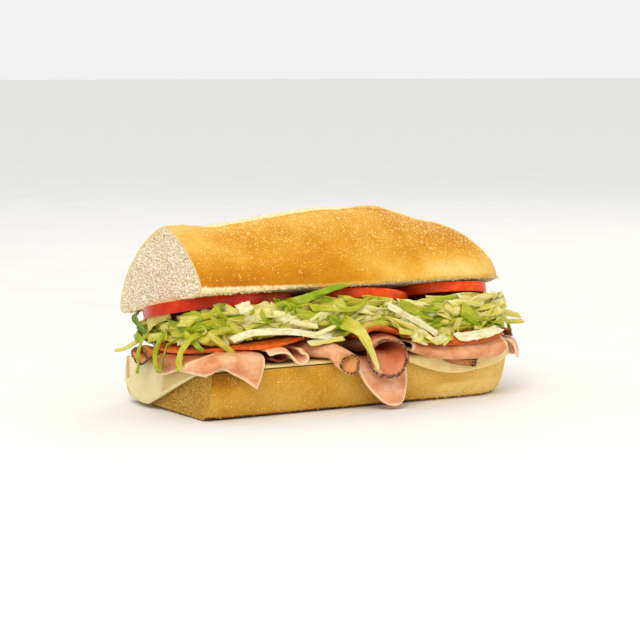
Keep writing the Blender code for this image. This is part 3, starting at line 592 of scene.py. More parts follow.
def crumb_finish(name, dark, middle, pale, crusty):
    """Porous crumb, yellower next to the crust, with painted shade in its pores and painted light where its
    pale mark is set.
    """
    made = Finish(name, Roughness=0.9, Specular_IOR_Level=0.1)
    streaks = made.noise(0.8, 4.0, 0.65, made.places((1.0, 0.5, 1.3), (math.radians(38.0), 0.0, 0.0)))
    base = made.ramp(streaks, (0.34, dark), (0.5, middle), (0.62, pale))
    lit = made.ramp(streaks, (0.3, (232, 208, 156)), (0.6, (255, 242, 208)))
    # Painted light: the pale mark lifts the crumb to lit colours.
    base = made.mix(made.mark("pale"), base, lit)
    # Painted shade: the pores are darkened.
    shaded = made.mix(made.times(made.mark("pore"), 0.6), base, dark)
    made.colour(made.mix(made.times(made.near_rim(0.4, 3.0), 0.75), shaded, crusty))
    made.bump(made.sum(streaks, made.noise(0.6, 3.0, 0.7)), 0.3)
    soften(made, 0.15, 2.0)
    return made.material


def cheese_finish(name, dark, pale):
    """Smooth ivory cheese, clearer at its edge, with a painted golden shadow where its shade mark is set."""
    made = Finish(name, Roughness=0.4, Specular_IOR_Level=0.35)
    cloud = made.noise(7.0, 4.0)
    base = made.ramp(cloud, (0.3, dark), (0.7, pale))
    # Painted shadow of the wrapped ham, kept off the slice's rim.
    shaded = made.times(made.mark("shade"), made.between(made.mark("rim"), 1.6, 2.4))
    base = made.mix(made.times(shaded, 0.85), base, (204, 172, 88))
    made.colour(made.mix(made.times(made.near_rim(0.0, 1.2), 0.6), base, (240, 214, 140)))
    made.gloss(cloud, 0.3, 0.48)
    made.bump(made.noise(2.0, 3.0), 0.05)
    soften(made, 0.35, 3.0)
    return made.material


def ham_finish():
    """Moist pink ham with faint muscle grain, a paler rim and painted shade where its shade mark is set."""
    made = Finish("ham", Roughness=0.36, Specular_IOR_Level=0.35, Coat_Weight=0.05, Coat_Roughness=0.2)
    grain = made.noise(3.0, 5.0, 0.65, made.places((0.5, 1.0, 1.6)))
    cloud = made.noise(11.0, 3.0)
    tone = made.sum(made.times(grain, 0.12), made.times(cloud, 0.88))
    base = made.ramp(tone, (0.36, (208, 126, 76)), (0.5, (226, 158, 110)), (0.64, (240, 188, 146)))
    # Painted shade: darker brown where the shade mark is set.
    base = made.mix(made.times(made.mark("shade"), 0.8), base, (186, 106, 54))
    made.colour(made.mix(made.times(made.near_rim(0.6, 1.9), 0.85), base, (250, 214, 170)))
    made.gloss(grain, 0.2, 0.38)
    made.bump(made.sum(grain, made.times(made.noise(0.8, 3.0), 0.3)), 0.06)
    soften(made, 0.25, 2.5)
    return made.material


def peppered_finish(name, outside, inside):
    """Peppered meat, black at its rim. outside and inside are pairs of colours."""
    made = Finish(name, Roughness=0.4, Specular_IOR_Level=0.4)
    grain = made.noise(2.6, 5.0, 0.65)
    outer = made.ramp(grain, (0.34, outside[0]), (0.64, outside[1]))
    inner = made.ramp(made.noise(6.0, 4.0), (0.35, inside[0]), (0.62, inside[1]))
    meat = made.mix(made.mark("inner"), outer, inner)
    spots = made.between(made.noise(0.7, 3.0, 0.8), 0.4, 0.56)
    made.colour(made.mix(made.times(made.near_rim(0.25, 0.8), spots), meat, (44, 26, 14)))
    made.bump(made.sum(grain, made.noise(0.7, 2.0)), 0.18)
    soften(made, 0.15, 1.5)
    return made.material


def salami_finish(name, dark, red, fat):
    """Moist red slice with fine flecks of fat and a darker rim."""
    made = Finish(name, Roughness=0.32, Specular_IOR_Level=0.3)
    cloud = made.noise(4.0, 4.0, 0.6)
    base = made.ramp(cloud, (0.35, dark), (0.6, red))
    flecks = made.between(made.cells(2.6), 0.32, 0.16)
    marbled = made.mix(made.times(flecks, 0.55), base, fat)
    made.colour(made.mix(made.times(made.near_rim(0.2, 1.4), 0.3), marbled, dark))
    made.bump(made.sum(cloud, made.times(flecks, 0.5)), 0.1)
    soften(made, 0.2, 1.5)
    return made.material


def tomato_finish(name, dark, red):
    """Glossy red skin; the cut faces are paler and wet."""
    made = Finish(name, Roughness=0.22, Specular_IOR_Level=0.22)
    cloud = made.noise(5.0, 4.0, 0.6)
    skin = made.ramp(cloud, (0.35, dark), (0.65, red))
    flesh = made.ramp(made.noise(2.2, 4.0, 0.7), (0.3, (196, 60, 16)), (0.55, (216, 96, 40)),
                      (0.75, (232, 146, 84)))
    made.colour(made.mix(made.mark("flesh"), skin, flesh))
    made.bump(made.times(made.noise(1.4, 3.0), made.mark("flesh")), 0.25)
    soften(made, 0.1, 2.0)
    return made.material


def strand_lines(made, scale, detail):
    """Fine lines along a strip, from its places along and across it."""
    along = made.times(made.mark("along"), 0.16)
    inputs = [("X", along), ("Y", made.mark("across")), ("Z", made.mark("odd"))]
    places = made.node("ShaderNodeCombineXYZ", inputs).outputs[0]
    inputs = [("Vector", places), ("Scale", scale), ("Detail", detail)]
    return made.node("ShaderNodeTexNoise", inputs).outputs["Fac"]


def onion_finish():
    """Clear white onion with fine lines along each strip."""
    made = Finish("onion", Roughness=0.28, Specular_IOR_Level=0.4)
    lines = strand_lines(made, 1.1, 2.0)
    tone = made.sum(made.times(lines, 0.6), made.times(made.noise(4.0, 3.0), 0.4))
    made.colour(made.ramp(tone, (0.38, (214, 200, 140)), (0.56, (244, 234, 196))))
    made.bump(lines, 0.06)
    soften(made, 0.5, 3.0)
    return made.material


def lettuce_finish():
    """Crisp leaf from white rib to green edge, with veins along each shred."""
    made = Finish("lettuce", Roughness=0.34, Specular_IOR_Level=0.28)
    veins = strand_lines(made, 0.9, 3.0)
    cloud = made.noise(5.0, 4.0, 0.6)
    tone = made.sum(made.sum(made.mark("tone"), made.swing(veins, 0.6)), made.swing(cloud, 0.55))
    made.colour(made.ramp(tone, (0.0, (238, 226, 170)), (0.2, (220, 206, 106)), (0.45, (186, 184, 38)),
                          (0.72, (136, 160, 0)), (1.0, (78, 110, 0))))
    made.gloss(cloud, 0.26, 0.45)
    made.bump(made.sum(veins, made.times(made.noise(1.2, 3.0), 0.5)), 0.22)
    soften(made, 0.3, 2.0)
    return made.material


def heap_shade_finish():
    """Dark brown-green leaf inside the heap: painted shade between the shreds."""
    made = Finish("lettuce_heap_shade", Roughness=0.5)
    cloud = made.noise(4.5, 5.0, 0.65, made.places((0.5, 1.0, 1.6)))
    made.colour(made.ramp(cloud, (0.34, (56, 26, 0)), (0.5, (116, 78, 8)), (0.66, (168, 136, 34))))
    made.bump(cloud, 1.2)
    soften(made, 0.2, 2.0)
    return made.material


def grain_finish():
    """Pale toasted cornmeal."""
    made = Finish("cornmeal", Roughness=0.6)
    made.colour(made.ramp(made.noise(3.0, 2.0), (0.35, (244, 192, 84)), (0.6, (255, 228, 140))))
    return made.material


def pepper_finish():
    """Cracked black pepper."""
    made = Finish("pepper", Roughness=0.7)
    made.colour(made.ramp(made.noise(0.9, 3.0), (0.35, (22, 14, 8)), (0.65, (84, 54, 30))))
    made.bump(made.noise(0.3, 2.0), 0.1)
    return made.material


def floor_finish():
    """Plain pale floor."""
    made = Finish("floor", Roughness=0.8, Specular_IOR_Level=0.1)
    made.colour(made.ramp(made.noise(60.0, 4.0), (0.3, (238, 238, 236)), (0.7, (242, 242, 240))))
    return made.material


# Roll


def roll_half_width(x, half, power):
    """Half width of the roll's outline at x, which rounds off to the tip."""
    if x <= ROUND_START:
        return half
    f = min((x - ROUND_START) / ROUND_LENGTH, 1.0)
    return half * (1 - f ** power) ** (1 / power)


def edge_wave(x):
    """Slight unevenness of the crust along the roll."""
    return 0.5 * math.sin(x / 17.0 + 0.6) + 0.3 * math.sin(x / 7.3)


def stations_along(straight, turned):
    """Stations from the cut end to the tip, closer together where it rounds."""
    run = [CUT_END + (ROUND_START - CUT_END) * i / straight for i in range(straight + 1)]
    for k in range(1, turned + 1):
        run.append(ROUND_START + ROUND_LENGTH * math.sin(math.pi / 2 * k / turned))
    return run


def cut_level(y):
    """Height of the bottom half's cut at y."""
    f = (y + HALF_WIDTH) / (HALF_WIDTH + REAR_HALF_WIDTH)
    return FRONT_HEIGHT + (REAR_HEIGHT - FRONT_HEIGHT) * f


def pore(y, z, seed):
    """How deep the crumb is at a place on a cut face: 0 on a wall, 1 in a pore."""
    along = y * math.cos(PORE_SLANT) + z * math.sin(PORE_SLANT)
    across = z * math.cos(PORE_SLANT) - y * math.sin(PORE_SLANT)
    nearest = noise.voronoi(Vector((along / 3.0, across / 1.4, seed)))[0][0]
    fine = noise.voronoi(Vector((along / 1.3, across / 0.7, seed + 5.0)))[0][0]
    return max(0.0, 0.45 - nearest) * 1.3 + max(0.0, 0.42 - fine) * 1.3


def crumb_face(points, marks, loop, rings, seed):
    """Points and faces that close a loop of points in the cut end's plane with
    porous crumb. The loop's points are given in order round it."""
    edge = [points[k] for k in loop]
    middle = sum(edge, Vector()) / len(edge)
    faces = []
    before = list(loop)
    for k in range(1, rings):
        fraction = 1.0 - k / rings
        ring = []
        for place in edge:
            point = middle + (place - middle) * fraction
            depth = pore(point.y, point.z, seed) * min((place - point).length / 1.2, 1.0)
            swell = 0.5 * rough((point.y, point.z, seed), 9.0) * min((place - point).length / 4.0, 1.0)
            ring.append(len(points))
            points.append(Vector((point.x + 0.8 * depth - swell, point.y, point.z)))
            values = {"pore": min(depth, 1.0), "rim": (place - point).length}
            for mark in marks:
                marks[mark].append(values.get(mark, 0.0))
        for m in range(len(loop)):
            n = (m + 1) % len(loop)
            faces.append((before[m], before[n], ring[n], ring[m]))
        before = ring
    hub = len(points)
    points.append(middle.copy())
    for mark in marks.values():
        mark.append(0.0)
    marks["rim"][-1] = 20.0
    faces += [(hub, before[m], before[(m + 1) % len(loop)]) for m in range(len(loop))]
    return faces


def base_place(x, inset):
    """Where x of the outline comes along the roll when a layer is drawn in."""
    if x <= ROUND_START:
        return x
    return ROUND_START + (x - ROUND_START) * (ROUND_LENGTH - inset) / ROUND_LENGTH


def bottom_bake(x, front, rise):
    """How brown the bottom half's crust is: browner at its foot and near the
    cut end, paler towards the rounded end."""
    brown = 0.4 + 0.12 * rough((x, front, rise * 20.0), 22.0)
    brown += 0.22 * ease((-60.0 - x) / 30.0) * ease((rise - 0.5) / 0.5)
    brown += 0.6 * ease((0.09 - rise) / 0.05)
    brown -= 0.3 * ease((x - 5.0) / 60.0)
    brown += 0.16 * ease((-70.0 - x) / 20.0) * ease((rise - 0.3) / 0.5)
    return brown


def bottom_layer(places, turn, marks):
    """A loop of points round the bottom half: its front, its rear and the cut
    end. turn runs from 0 at the base to a quarter turn at the cut."""
    inset = BASE_INSET * (1 - math.sin(turn))
    rise = 1 - math.cos(turn)
    near, far = [], []
    for x in places:
        front = roll_half_width(x, HALF_WIDTH - inset, ROUND_POWER)
        shoulder = REAR_SHOULDER * ease((rise - 0.45) / 0.55)
        rear = roll_half_width(x, REAR_HALF_WIDTH - inset - shoulder, ROUND_POWER)
        bulge = edge_wave(x) * rise * front / HALF_WIDTH
        x = base_place(x, inset)
        heel = HEEL_LIFT * ease((CUT_END + HEEL_LENGTH - x) / HEEL_LENGTH) * (1 - rise) ** 2
        front_z = -BASE_DROP + (cut_level(-front) + BASE_DROP) * rise
        rear_z = -BASE_DROP + (cut_level(rear) + BASE_DROP) * rise
        clump = ease((x - 30.0) / 12.0) * ease((0.42 - rise) / 0.12) * ease((rise - 0.02) / 0.06)
        lump = 0.12 * rough((x, rise * 22.0, 3.0), 2.5) + 0.35 * rough((x, rise * 20.0, 0.0), 14.0)
        lump += clump * 1.3 * max(0.0, rough((x, rise * 18.0, 7.0), 2.2) + 0.2)
        near.append(Vector((x, -front - bulge - lump * min(rise * 6, 1.0), front_z + heel * 0.3)))
        far.append(Vector((x, rear + bulge + lump * min(rise * 6, 1.0), rear_z + heel)))
        marks["bake_and_sheen"].append(bottom_bake(x, -1.0, rise) - 0.3 * clump)
    across = [far[0].lerp(near[0], k / CUT_STEPS) for k in range(1, CUT_STEPS)]
    behind = far[:-1][::-1]
    loop = near + behind + across
    marks["bake_and_sheen"] += [bottom_bake(p.x, 1.0, rise) for p in behind] + [0.3] * len(across)
    for mark in ("score", "pore"):
        marks[mark] += [0.0] * len(loop)
    marks["rim"] += [min(20.0, abs(abs(p.y) - 40.0)) for p in loop]
    # Painted light: the crumb towards the rear of the cut end is marked pale, lighter than the painted shade
    # in front of it.
    marks["pale"] += [ease((p.y - 20.0) / 8.0) for p in loop]
    return loop


def bun_bottom(crust, crumb):
    """Bottom half: layers of the outline, drawn in towards the flat base."""
    places = stations_along(STRAIGHT_STEPS, BOTTOM_TURN_STEPS)
    points, faces, skins = [], [], []
    marks = {"bake_and_sheen": [], "score": [], "pore": [], "rim": [], "pale": []}
    for layer in range(BOTTOM_LAYERS + 1):
        points += bottom_layer(places, math.pi / 2 * layer / BOTTOM_LAYERS, marks)
    ring = len(points) // (BOTTOM_LAYERS + 1)
    sides = 2 * len(places) - 1
    for layer in range(BOTTOM_LAYERS):
        low, high = layer * ring, (layer + 1) * ring
        for k in range(ring):
            m = (k + 1) % ring
            faces.append((low + k, low + m, high + m, high + k))
            skins.append(0 if k < sides - 1 else 1)
    for layer in range(1, BOTTOM_LAYERS):
        from_edge = min(layer, BOTTOM_LAYERS - layer)
        for k in range(sides, ring):
            point = points[layer * ring + k]
            inside = min(ease((HALF_WIDTH - abs(point.y)) / 4.0), from_edge / 3.0, 1.0)
            depth = pore(point.y, point.z, 2.0) * inside
            point.x += 0.5 * depth - 0.4 * inside * rough(point, 8.0)
            marks["pore"][layer * ring + k] = min(depth, 1.0) * 0.6
    for base, skin in ((0, 0), (BOTTOM_LAYERS * ring, 1)):
        faces.append(tuple(base + k for k in range(ring)))
        skins.append(skin)
    show("bun_bottom_look", points, faces, [crust, crumb], "bun_bottom", skins, marks)


def crest_at(x):
    """Height of the top half's crest at x, without corners between stations."""
    reach = 2.4
    return sum(value_at(x + reach * k / 2, CREST_X, CREST_HEIGHT) for k in range(-2, 3)) / 5


def lid_section(x, angle):
    """Crust of the top half at x; angle runs from its front edge to its rear."""
    shrink = roll_half_width(x, 1.0, LID_POWER)
    half = LID_HALF_WIDTH * shrink + edge_wave(x + 9.0) * shrink
    height = crest_at(x)
    crest = LID_CREST_ACROSS * shrink
    front = angle < math.pi / 2
    reach = half + crest if front else half - crest
    power = 1.4 + 0.35 * ease((x - 30.0) / 40.0) if front else 1.62
    v = crest - math.copysign(reach * abs(math.cos(angle)) ** (2 / power), math.cos(angle))
    n = height * max(math.sin(angle), 0.0) ** (2 / power)
    scored = ease((x + 88.0) / 20.0) * ease((30.0 - x) / 30.0)
    swell = math.exp(-((v - 1.0) / 7.0) ** 2) - math.exp(-((v + 15.0) / 5.0) ** 2)
    return v, n + SCORE_SWELL * scored * swell


def from_lid(x, v, n):
    """A place in the top half's tilted frame, upright."""
    y = LID_SHIFT + v * math.cos(LID_TILT) + n * math.sin(LID_TILT)
    return Vector((x, y, LID_LEVEL - v * math.sin(LID_TILT) + n * math.cos(LID_TILT)))


def score_share(x, v):
    """1 inside the slit along the top, with ragged sides."""
    ragged = 1.4 * rough((x, 0.0, 4.0), 5.0) + 0.5 * rough((x, 3.0, 4.0), 1.3)
    narrow = 7.0 * ease((x - 4.0) / 26.0) + 5.0 * ease((-66.0 - x) / 20.0)
    front = ease((v - SCORE_FRONT - 0.6 * ragged - narrow) / 0.9)
    rear = ease((SCORE_REAR + 2.0 * ragged - v) / 3.0)
    return front * rear * ease((x + 86.0) / 10.0) * ease((34.0 - x) / 10.0)


def torn_share(x, v, n):
    """1 where the crust is torn off along the top half's lower front edge."""
    ragged = 0.9 * rough((x, 0.0, 2.0), 2.2) + 0.5 * rough((x, 5.0, 2.0), 7.0)
    limit = TORN_HEIGHT * ease((BAND_END - x) / 62.0)
    return ease((limit * (1.0 + ragged) - n) / 0.7) * ease(-v / 10.0) * ease((BAND_END - x) / 12.0)


def lid_relief(x, v, n, width):
    """How far the crust stands off its plain section, with the slit sunk
    behind a lip, and the lip's own height. width is the section's."""
    inside = max(0.0, min(1.0, n / 4.0, width / 30.0))
    lift = 0.3 * rough((x, v, n), 11.0) + 0.1 * rough((x, v, n), 3.0)
    lift -= score_share(x, v) * (0.5 + 0.5 * rough((x, v, 0.0), 2.0) + 0.3 * rough((x, v, 5.0), 0.9))
    lip = math.exp(-((v - SCORE_FRONT + 0.8) / 1.0) ** 2) * 0.4 * score_share(x, SCORE_FRONT + 8.0)
    torn = torn_share(x, v, n) * (0.3 + 0.5 * rough((x, v, n), 1.4))
    return (lift + lip) * inside - torn, lip


def lid_bake_and_sheen(x, v, n):
    """How brown the top half's crust is: paler at its lower edge and right end. Its paler top, from the cut
    end to the middle, is painted sheen.
    """
    brown = 0.47 + 0.09 * rough((x, v, n), 26.0) + 0.05 * rough((x, v, n), 8.0)
    low = ease((16.0 - n) / 16.0)
    brown += 0.26 * low * ease((10.0 - x) / 70.0)
    brown -= 0.36 * low * ease((x + 10.0) / 50.0) * ease((92.0 - x) / 16.0)
    # Painted sheen: paler high on the crest from the cut end to the middle.
    brown -= 0.14 * ease((n - 24.0) / 12.0) * ease((30.0 - x) / 30.0)
    brown += 0.16 * ease((x - 20.0) / 30.0) * ease((n - 12.0) / 10.0)
    brown -= 0.2 * ease((-66.0 - x) / 24.0) * ease((n - 12.0) / 10.0)
    return brown


def lid_place(x):
    """Where x of the outline comes along the roll: the tip is a little short."""
    return x - LID_SHORT * max(x - ROUND_START, 0.0) / ROUND_LENGTH


def lid_ring(x, marks):
    """A ring of points round the top half at x: over the crust from front to
    rear, then back under it across the crumb."""
    over = [lid_section(x, math.pi * k / OVER_STEPS) for k in range(OVER_STEPS + 1)]
    shown_x = lid_place(x)
    low, high = over[0][0], over[-1][0]
    width = high - low
    points = []
    for v, n in over:
        lift, lip = lid_relief(x, v, n, width)
        points.append(from_lid(shown_x, v, n + lift))
        marks["score"].append(max(score_share(x, v), torn_share(x, v, n)))
        marks["bake_and_sheen"].append(lid_bake_and_sheen(x, v, n) + 0.4 * lip)
    lip = min(0.9, width / 12)
    inner, span = high - 4 * lip, width - 8 * lip
    across = [high - lip * 0.3, high - lip]
    across += [inner - span * k / UNDER_STEPS for k in range(UNDER_STEPS + 1)]
    across += [low + lip * 0.6, low + lip * 0.15]
    drops = [0.3, 0.6] + [1.0] * (UNDER_STEPS + 1) + [0.8, 0.4]
    for v, drop in zip(across, drops):
        near_front = ease((low + 9.0 - v) / 9.0)
        ragged = 0.35 * rough((x, v, 0.0), 3.0) + 0.3 * near_front * rough((x, v, 9.0), 1.6)
        points.append(from_lid(shown_x, v, -LID_CRUMB * drop * (1.0 + ragged * min(width / 20.0, 1.0))))
        band = ease((BAND_END - x) / 16.0 + rough((x, 0.0, 6.0), 2.0))
        marks["score"].append(band if v < low + lip else 0.0)
        marks["bake_and_sheen"].append(0.2)
    return points


def bun_top(crust, crumb):
    """Top half: rings across the roll, closed by crumb at the cut end and by
    crust at the tip."""
    places = stations_along(STRAIGHT_STEPS, TOP_TURN_STEPS)
    places[-1] = TIP - 0.05
    points, faces, skins = [], [], []
    marks = {"bake_and_sheen": [], "score": []}
    for x in places:
        points += lid_ring(x, marks)
    ring = len(points) // len(places)
    marks["pore"] = [0.0] * len(points)
    marks["rim"] = [0.0] * ring + [4.0] * (len(points) - ring)
    for i in range(len(places) - 1):
        for k in range(ring):
            a, b = i * ring + k, i * ring + (k + 1) % ring
            faces.append((a, b, b + ring, a + ring))
            skins.append(0 if k < OVER_STEPS or k >= ring - 2 else 1)
    cap = crumb_face(points, marks, range(ring), CRUMB_RINGS, 0.0)
    last = (len(places) - 1) * ring
    hub = len(points)
    points.append(sum(points[last:last + ring], Vector()) / ring + Vector((0.5, 0.0, 0.0)))
    for values in marks.values():
        values.append(values[last + OVER_STEPS // 2])
    faces += cap + [(hub, last + (k + 1) % ring, last + k) for k in range(ring)]
    skins += [1] * len(cap) + [0] * ring
    # Painted light: the crumb under the top half, away from its cut end, is marked pale to lift it out of its
    # shade.
    marks["pale"] = [ease((point.x - CUT_END - 1.5) / 2.0) for point in points]
    show("bun_top_look", points, faces, [crust, crumb], "bun_top", skins, marks)


def under_lid(y, n):
    """Height of the plane that is n above the top half's cut, at y."""
    return LID_LEVEL - (y - LID_SHIFT) * math.tan(LID_TILT) + n / math.cos(LID_TILT)


# Cheese


def bend_over(excess, radius):
    """Travel outwards and down of a slice that runs excess past an edge."""
    if excess <= 0:
        return excess, 0.0
    quarter = radius * math.pi / 2
    if excess < quarter:
        return radius * math.sin(excess / radius), radius * (1 - math.cos(excess / radius))
    return radius, radius + excess - quarter


def hanging_stations(flat, hang, radius):
    """Stations along a slice that lies flat, bends over an edge and hangs:
    three on the flat, five round the bend and three down to the hem."""
    quarter = radius * math.pi / 2
    run = [0.0, flat * 0.5, flat - 1.0]
    run += [flat + quarter * k / 4 for k in range(5)]
    run += [flat + quarter + (hang - quarter) * k / 3 for k in range(1, 4)]
    return run


def hung(excess, quarter, hang, longest):
    """How far a slice runs past an edge where it hangs by hang, from its run
    there if it hung by longest."""
    if excess <= quarter:
        return excess
    return quarter + (excess - quarter) * (hang - quarter) / (longest - quarter)


def cheese_left(finish):
    """Cheese on the cut end's side: flat, then hanging over the cut face with
    a straight edge that runs down from the front corner."""
    inner, longest, rounded = -15.5, 23.2, 9.6
    flat = inner - CUT_END
    front, corner = -HALF_WIDTH + 0.2, 12.0
    rears = (37.0, 36.0, 26.0, 24.6, 23.8, 23.4, 23.2, 23.2, 28.5, 34.0, 38.4)
    quarter = CHEESE_BEND * math.pi / 2
    stations = hanging_stations(flat, longest, CHEESE_BEND)

    def hang(y):
        lowered = longest * min((y - front) / (corner - front), 1.0)
        lowered -= rounded * max((y - corner) / (rears[-1] - corner), 0.0) ** 3
        return max(lowered, quarter + 0.4)

    def surface(s, t):
        y = front + (curve_at(rears, s) - front) * t
        excess = hung(curve_at(stations, s) - flat, quarter, hang(y), longest)
        out, drop = bend_over(excess, CHEESE_BEND)
        sway = 0.7 * abs(math.sin(y / 13.0)) * max(excess, 0.0) / longest
        return Vector((CUT_END - out - sway, y, cut_level(y) + GAP + CHEESE / 2 - drop))

    def shade(s, t):
        """Where the wrapped ham's shadow is painted golden on the slice."""
        return ease((0.68 - 0.12 * s - t) / 0.06) * ease((s - 0.3) / 0.2)

    sheet("cheese_left", surface, 60, 70, CHEESE, finish, wave=0.12, wave_size=12.0, shade=shade)


def cheese_right(finish):
    """Cheese on the rounded end's side; its front edge hangs over the crust."""
    depth = 70.0
    places = (14.5, 22.0, 33.0, 46.0, 58.0, 69.0, 77.0, 83.0)
    hangs = (4.2, 7.8, 10.6, 11.8, 11.2, 9.8, 8.0, 5.6)
    quarter = CHEESE_BEND * math.pi / 2
    longest = max(hangs)
    stations = hanging_stations(depth, longest, CHEESE_BEND)

    def surface(s, t):
        x = places[0] + (places[-1] - places[0]) * t
        edge = roll_half_width(x, HALF_WIDTH, ROUND_POWER) + edge_wave(x)
        excess = hung(curve_at(stations, s) - depth, quarter, curve_at(hangs, t), longest)
        if excess < 0:
            excess *= (edge + 24.0) / depth
        out, drop = bend_over(excess, CHEESE_BEND)
        y = -edge - out
        return Vector((x, y, cut_level(y) + GAP + CHEESE / 2 - drop))

    sheet("cheese_right", surface, 60, 60, CHEESE, finish, wave=0.12, wave_size=12.0)


# Tomato


def tomato_sink(x, middle, radius, droop):
    """How far a slice has sunk at x, more and more towards its right end."""
    t = min(max((x - middle) / radius, -1.0), 1.0)
    return droop * ((t + 1) / 2) ** 2


def tomato(finish, node, x, y, radius, thickness, droop, cut):
    """A tomato slice under the top half, its round edge slightly uneven."""

    def outline(angle):
        r = radius * (1 + 0.015 * math.sin(5 * angle + x) + 0.01 * math.sin(2 * angle + y))
        if cut:
            face, distance = cut
            turn = math.cos(angle - face)
            if turn > 0:
                r = min(r, distance / turn)
        return x + r * math.cos(angle), y + r * math.sin(angle)

    def surface(px, py):
        n = -LID_CRUMB - GAP - thickness / 2 - tomato_sink(px, x, radius, droop)
        return Vector((px, py, under_lid(py, n)))

    def chambers(point, fraction):
        """Seed chambers are sunk between the walls of the cut faces."""
        px, py = point.x - x, point.y - y
        reach = math.hypot(px, py) / radius
        walls = max(0.0, math.sin(2.5 * math.atan2(py, px)) ** 2 - 0.25)
        hollow = math.exp(-((reach - 0.55) / 0.17) ** 2) * walls * (fraction < 0.95)
        return Vector((0.0, 0.0, 0.12 * rough(point, 3.0) * (fraction < 1.0) - 0.25 * hollow))

    def paint(points, rims):
        flesh = []
        for point, rim in zip(points, rims):
            cut_side = 0.0
            if cut and point.y < 0:
                cut_side = ease((point.x + 58.0) / 8.0) * ease((-34.0 - point.x) / 3.0)
            flesh.append(max(ease((rim - 0.7) / 1.2), 0.9 * cut_side))
        return {"flesh": flesh}

    upper, lower = faces_of(surface, thickness)
    fractions = (0.1, 0.25, 0.4, 0.5, 0.6, 0.7, 0.8, 0.88, 0.94, 0.975, 1.0)
    disc(node, outline, upper, lower, fractions, 150, finish, 0.008, chambers, paint)


# Ham and other meat


def press(y):
    """The fillings lie on the cheese and thin towards the closed rear."""
    return cut_level(y) + GAP + CHEESE, 1.0 - 0.42 * ease((y + 40.0) / 80.0)


def swept(profile, near, far):
    """Surface of a profile in x and z carried along y from near to far."""
    line = [Vector((x, 0.0, z)) for x, z in profile]

    def surface(s, t):
        y = near + (far - near) * s
        point = curve_at(line, t)
        floor, scale = press(y)
        return Vector((point.x, y, floor + (point.z - floor) * scale))

    return surface


def ham_left(finish):
    """Slice that wraps the front corner, with a wavy hem and a pointed end."""
    hem = [(-101.0, -1, 16.6), (-101.2, -12, 18.2), (-101.2, -24, 21.3), (-101.6, -38, 21.6),
           (-99.4, -48.8, 21.8), (-93.2, -50.5, 24.8), (-87, -50.6, 22.0), (-80.5, -50.8, 18.4),
           (-74.0, -51.2, 13.8)]
    bulge = [(-102.0, -1, 22.0), (-102.4, -12, 23.4), (-102.4, -24, 25.4), (-102.0, -38.6, 26.2),
             (-99.6, -49.6, 26.4), (-92, -52.4, 28.0), (-85, -52.6, 27.0), (-77.4, -52.8, 24.4),
             (-71.6, -51.6, 20.0)]
    crest = [(-97.8, 0, 26.7), (-98, -11, 27.1), (-97.6, -25, 27.6), (-95.6, -38, 28.8),
             (-92, -45, 29.8), (-86, -46.4, 30.2), (-80, -46.8, 30.2), (-74, -47.4, 29.4),
             (-68.2, -48.8, 27.0)]
    inner = [(-86, 2, 28.2), (-85, -8, 28.6), (-84, -18, 28.8), (-82, -28, 29.4),
             (-80, -33, 30.3), (-77, -36, 30.5), (-74, -37, 30.5), (-70, -38, 30.2),
             (-66.4, -40, 29.6)]
    surface = rails_surface([hem, bulge, crest, inner])

    def fold(s):
        return value_at(s, (0.0, 0.12, 0.5, 0.7), (0.2, 0.31, 0.37, 0.42))

    sheet("ham_left", surface, 40, 160, HAM, finish, wave=0.35, wave_size=7.0, fold=fold)


def ham_fold(finish):
    """Loosely folded slice under the wrapped one."""
    profile = [(-92, 25.4), (-86.5, 27.2), (-80, 26.0), (-73, 25.4), (-67.5, 27.2), (-64, 27.6)]
    sheet("ham_fold", swept(profile, -40.0, 0.0), 30, 50, HAM, finish, wave=0.1)


def capicola(finish):
    """Dark slice in the gap beside the wrapped ham."""
    profile = [(-62.8, 27.2), (-59.0, 25.6), (-56.0, 25.6), (-53.6, 26.8)]
    sheet("capicola", swept(profile, -45.4, 20.0), 40, 20, THIN_HAM, finish, wave=0.1)


def ham_curl(finish):
    """Folded slice whose edge shows as a hook at the front."""
    profile = [(-66, 31.0), (-61, 31.8), (-56, 31.4), (-53, 28.8), (-50.6, 26.4),
               (-47.4, 25.6), (-44.8, 27.4), (-45.4, 30.0), (-48.4, 31.0)]
    surface = swept(profile, -50.4, 26.0)

    def drooped(s, t):
        point = surface(s * s, t)
        point.z -= 1.6 * ease((-46.4 - point.y) / 3.0)
        return point

    sheet("ham_curl", drooped, 50, 80, THIN_HAM, finish, wave=0.1)


def ham_roll(finish):
    """Slice rolled into a tube, its peppered mouth turned to the front."""
    stations = [((-22.6, -53.4, 22.2), 5.4, 4.9, (-0.2, -1.0, 0.1)),
                ((-25.4, -51.4, 24.4), 5.3, 5.0, (0.15, -1.0, -0.1)),
                ((-29.6, -47.4, 28.4), 5.2, 3.9, (0.4, -0.9, -0.1)),
                ((-34.5, -41.0, 29.2), 5.6, 3.8, (0.4, -0.9, 0.0)),
                ((-36.5, -28.0, 28.6), 5.6, 3.6, (0.1, -1.0, 0.0)),
                ((-36.5, 26.0, 26.6), 5.6, 2.6, (0.0, -1.0, 0.0))]
    return shell_tube("ham_roll", stations, 56, 60, 1.1, 4, finish, ragged=0.5)


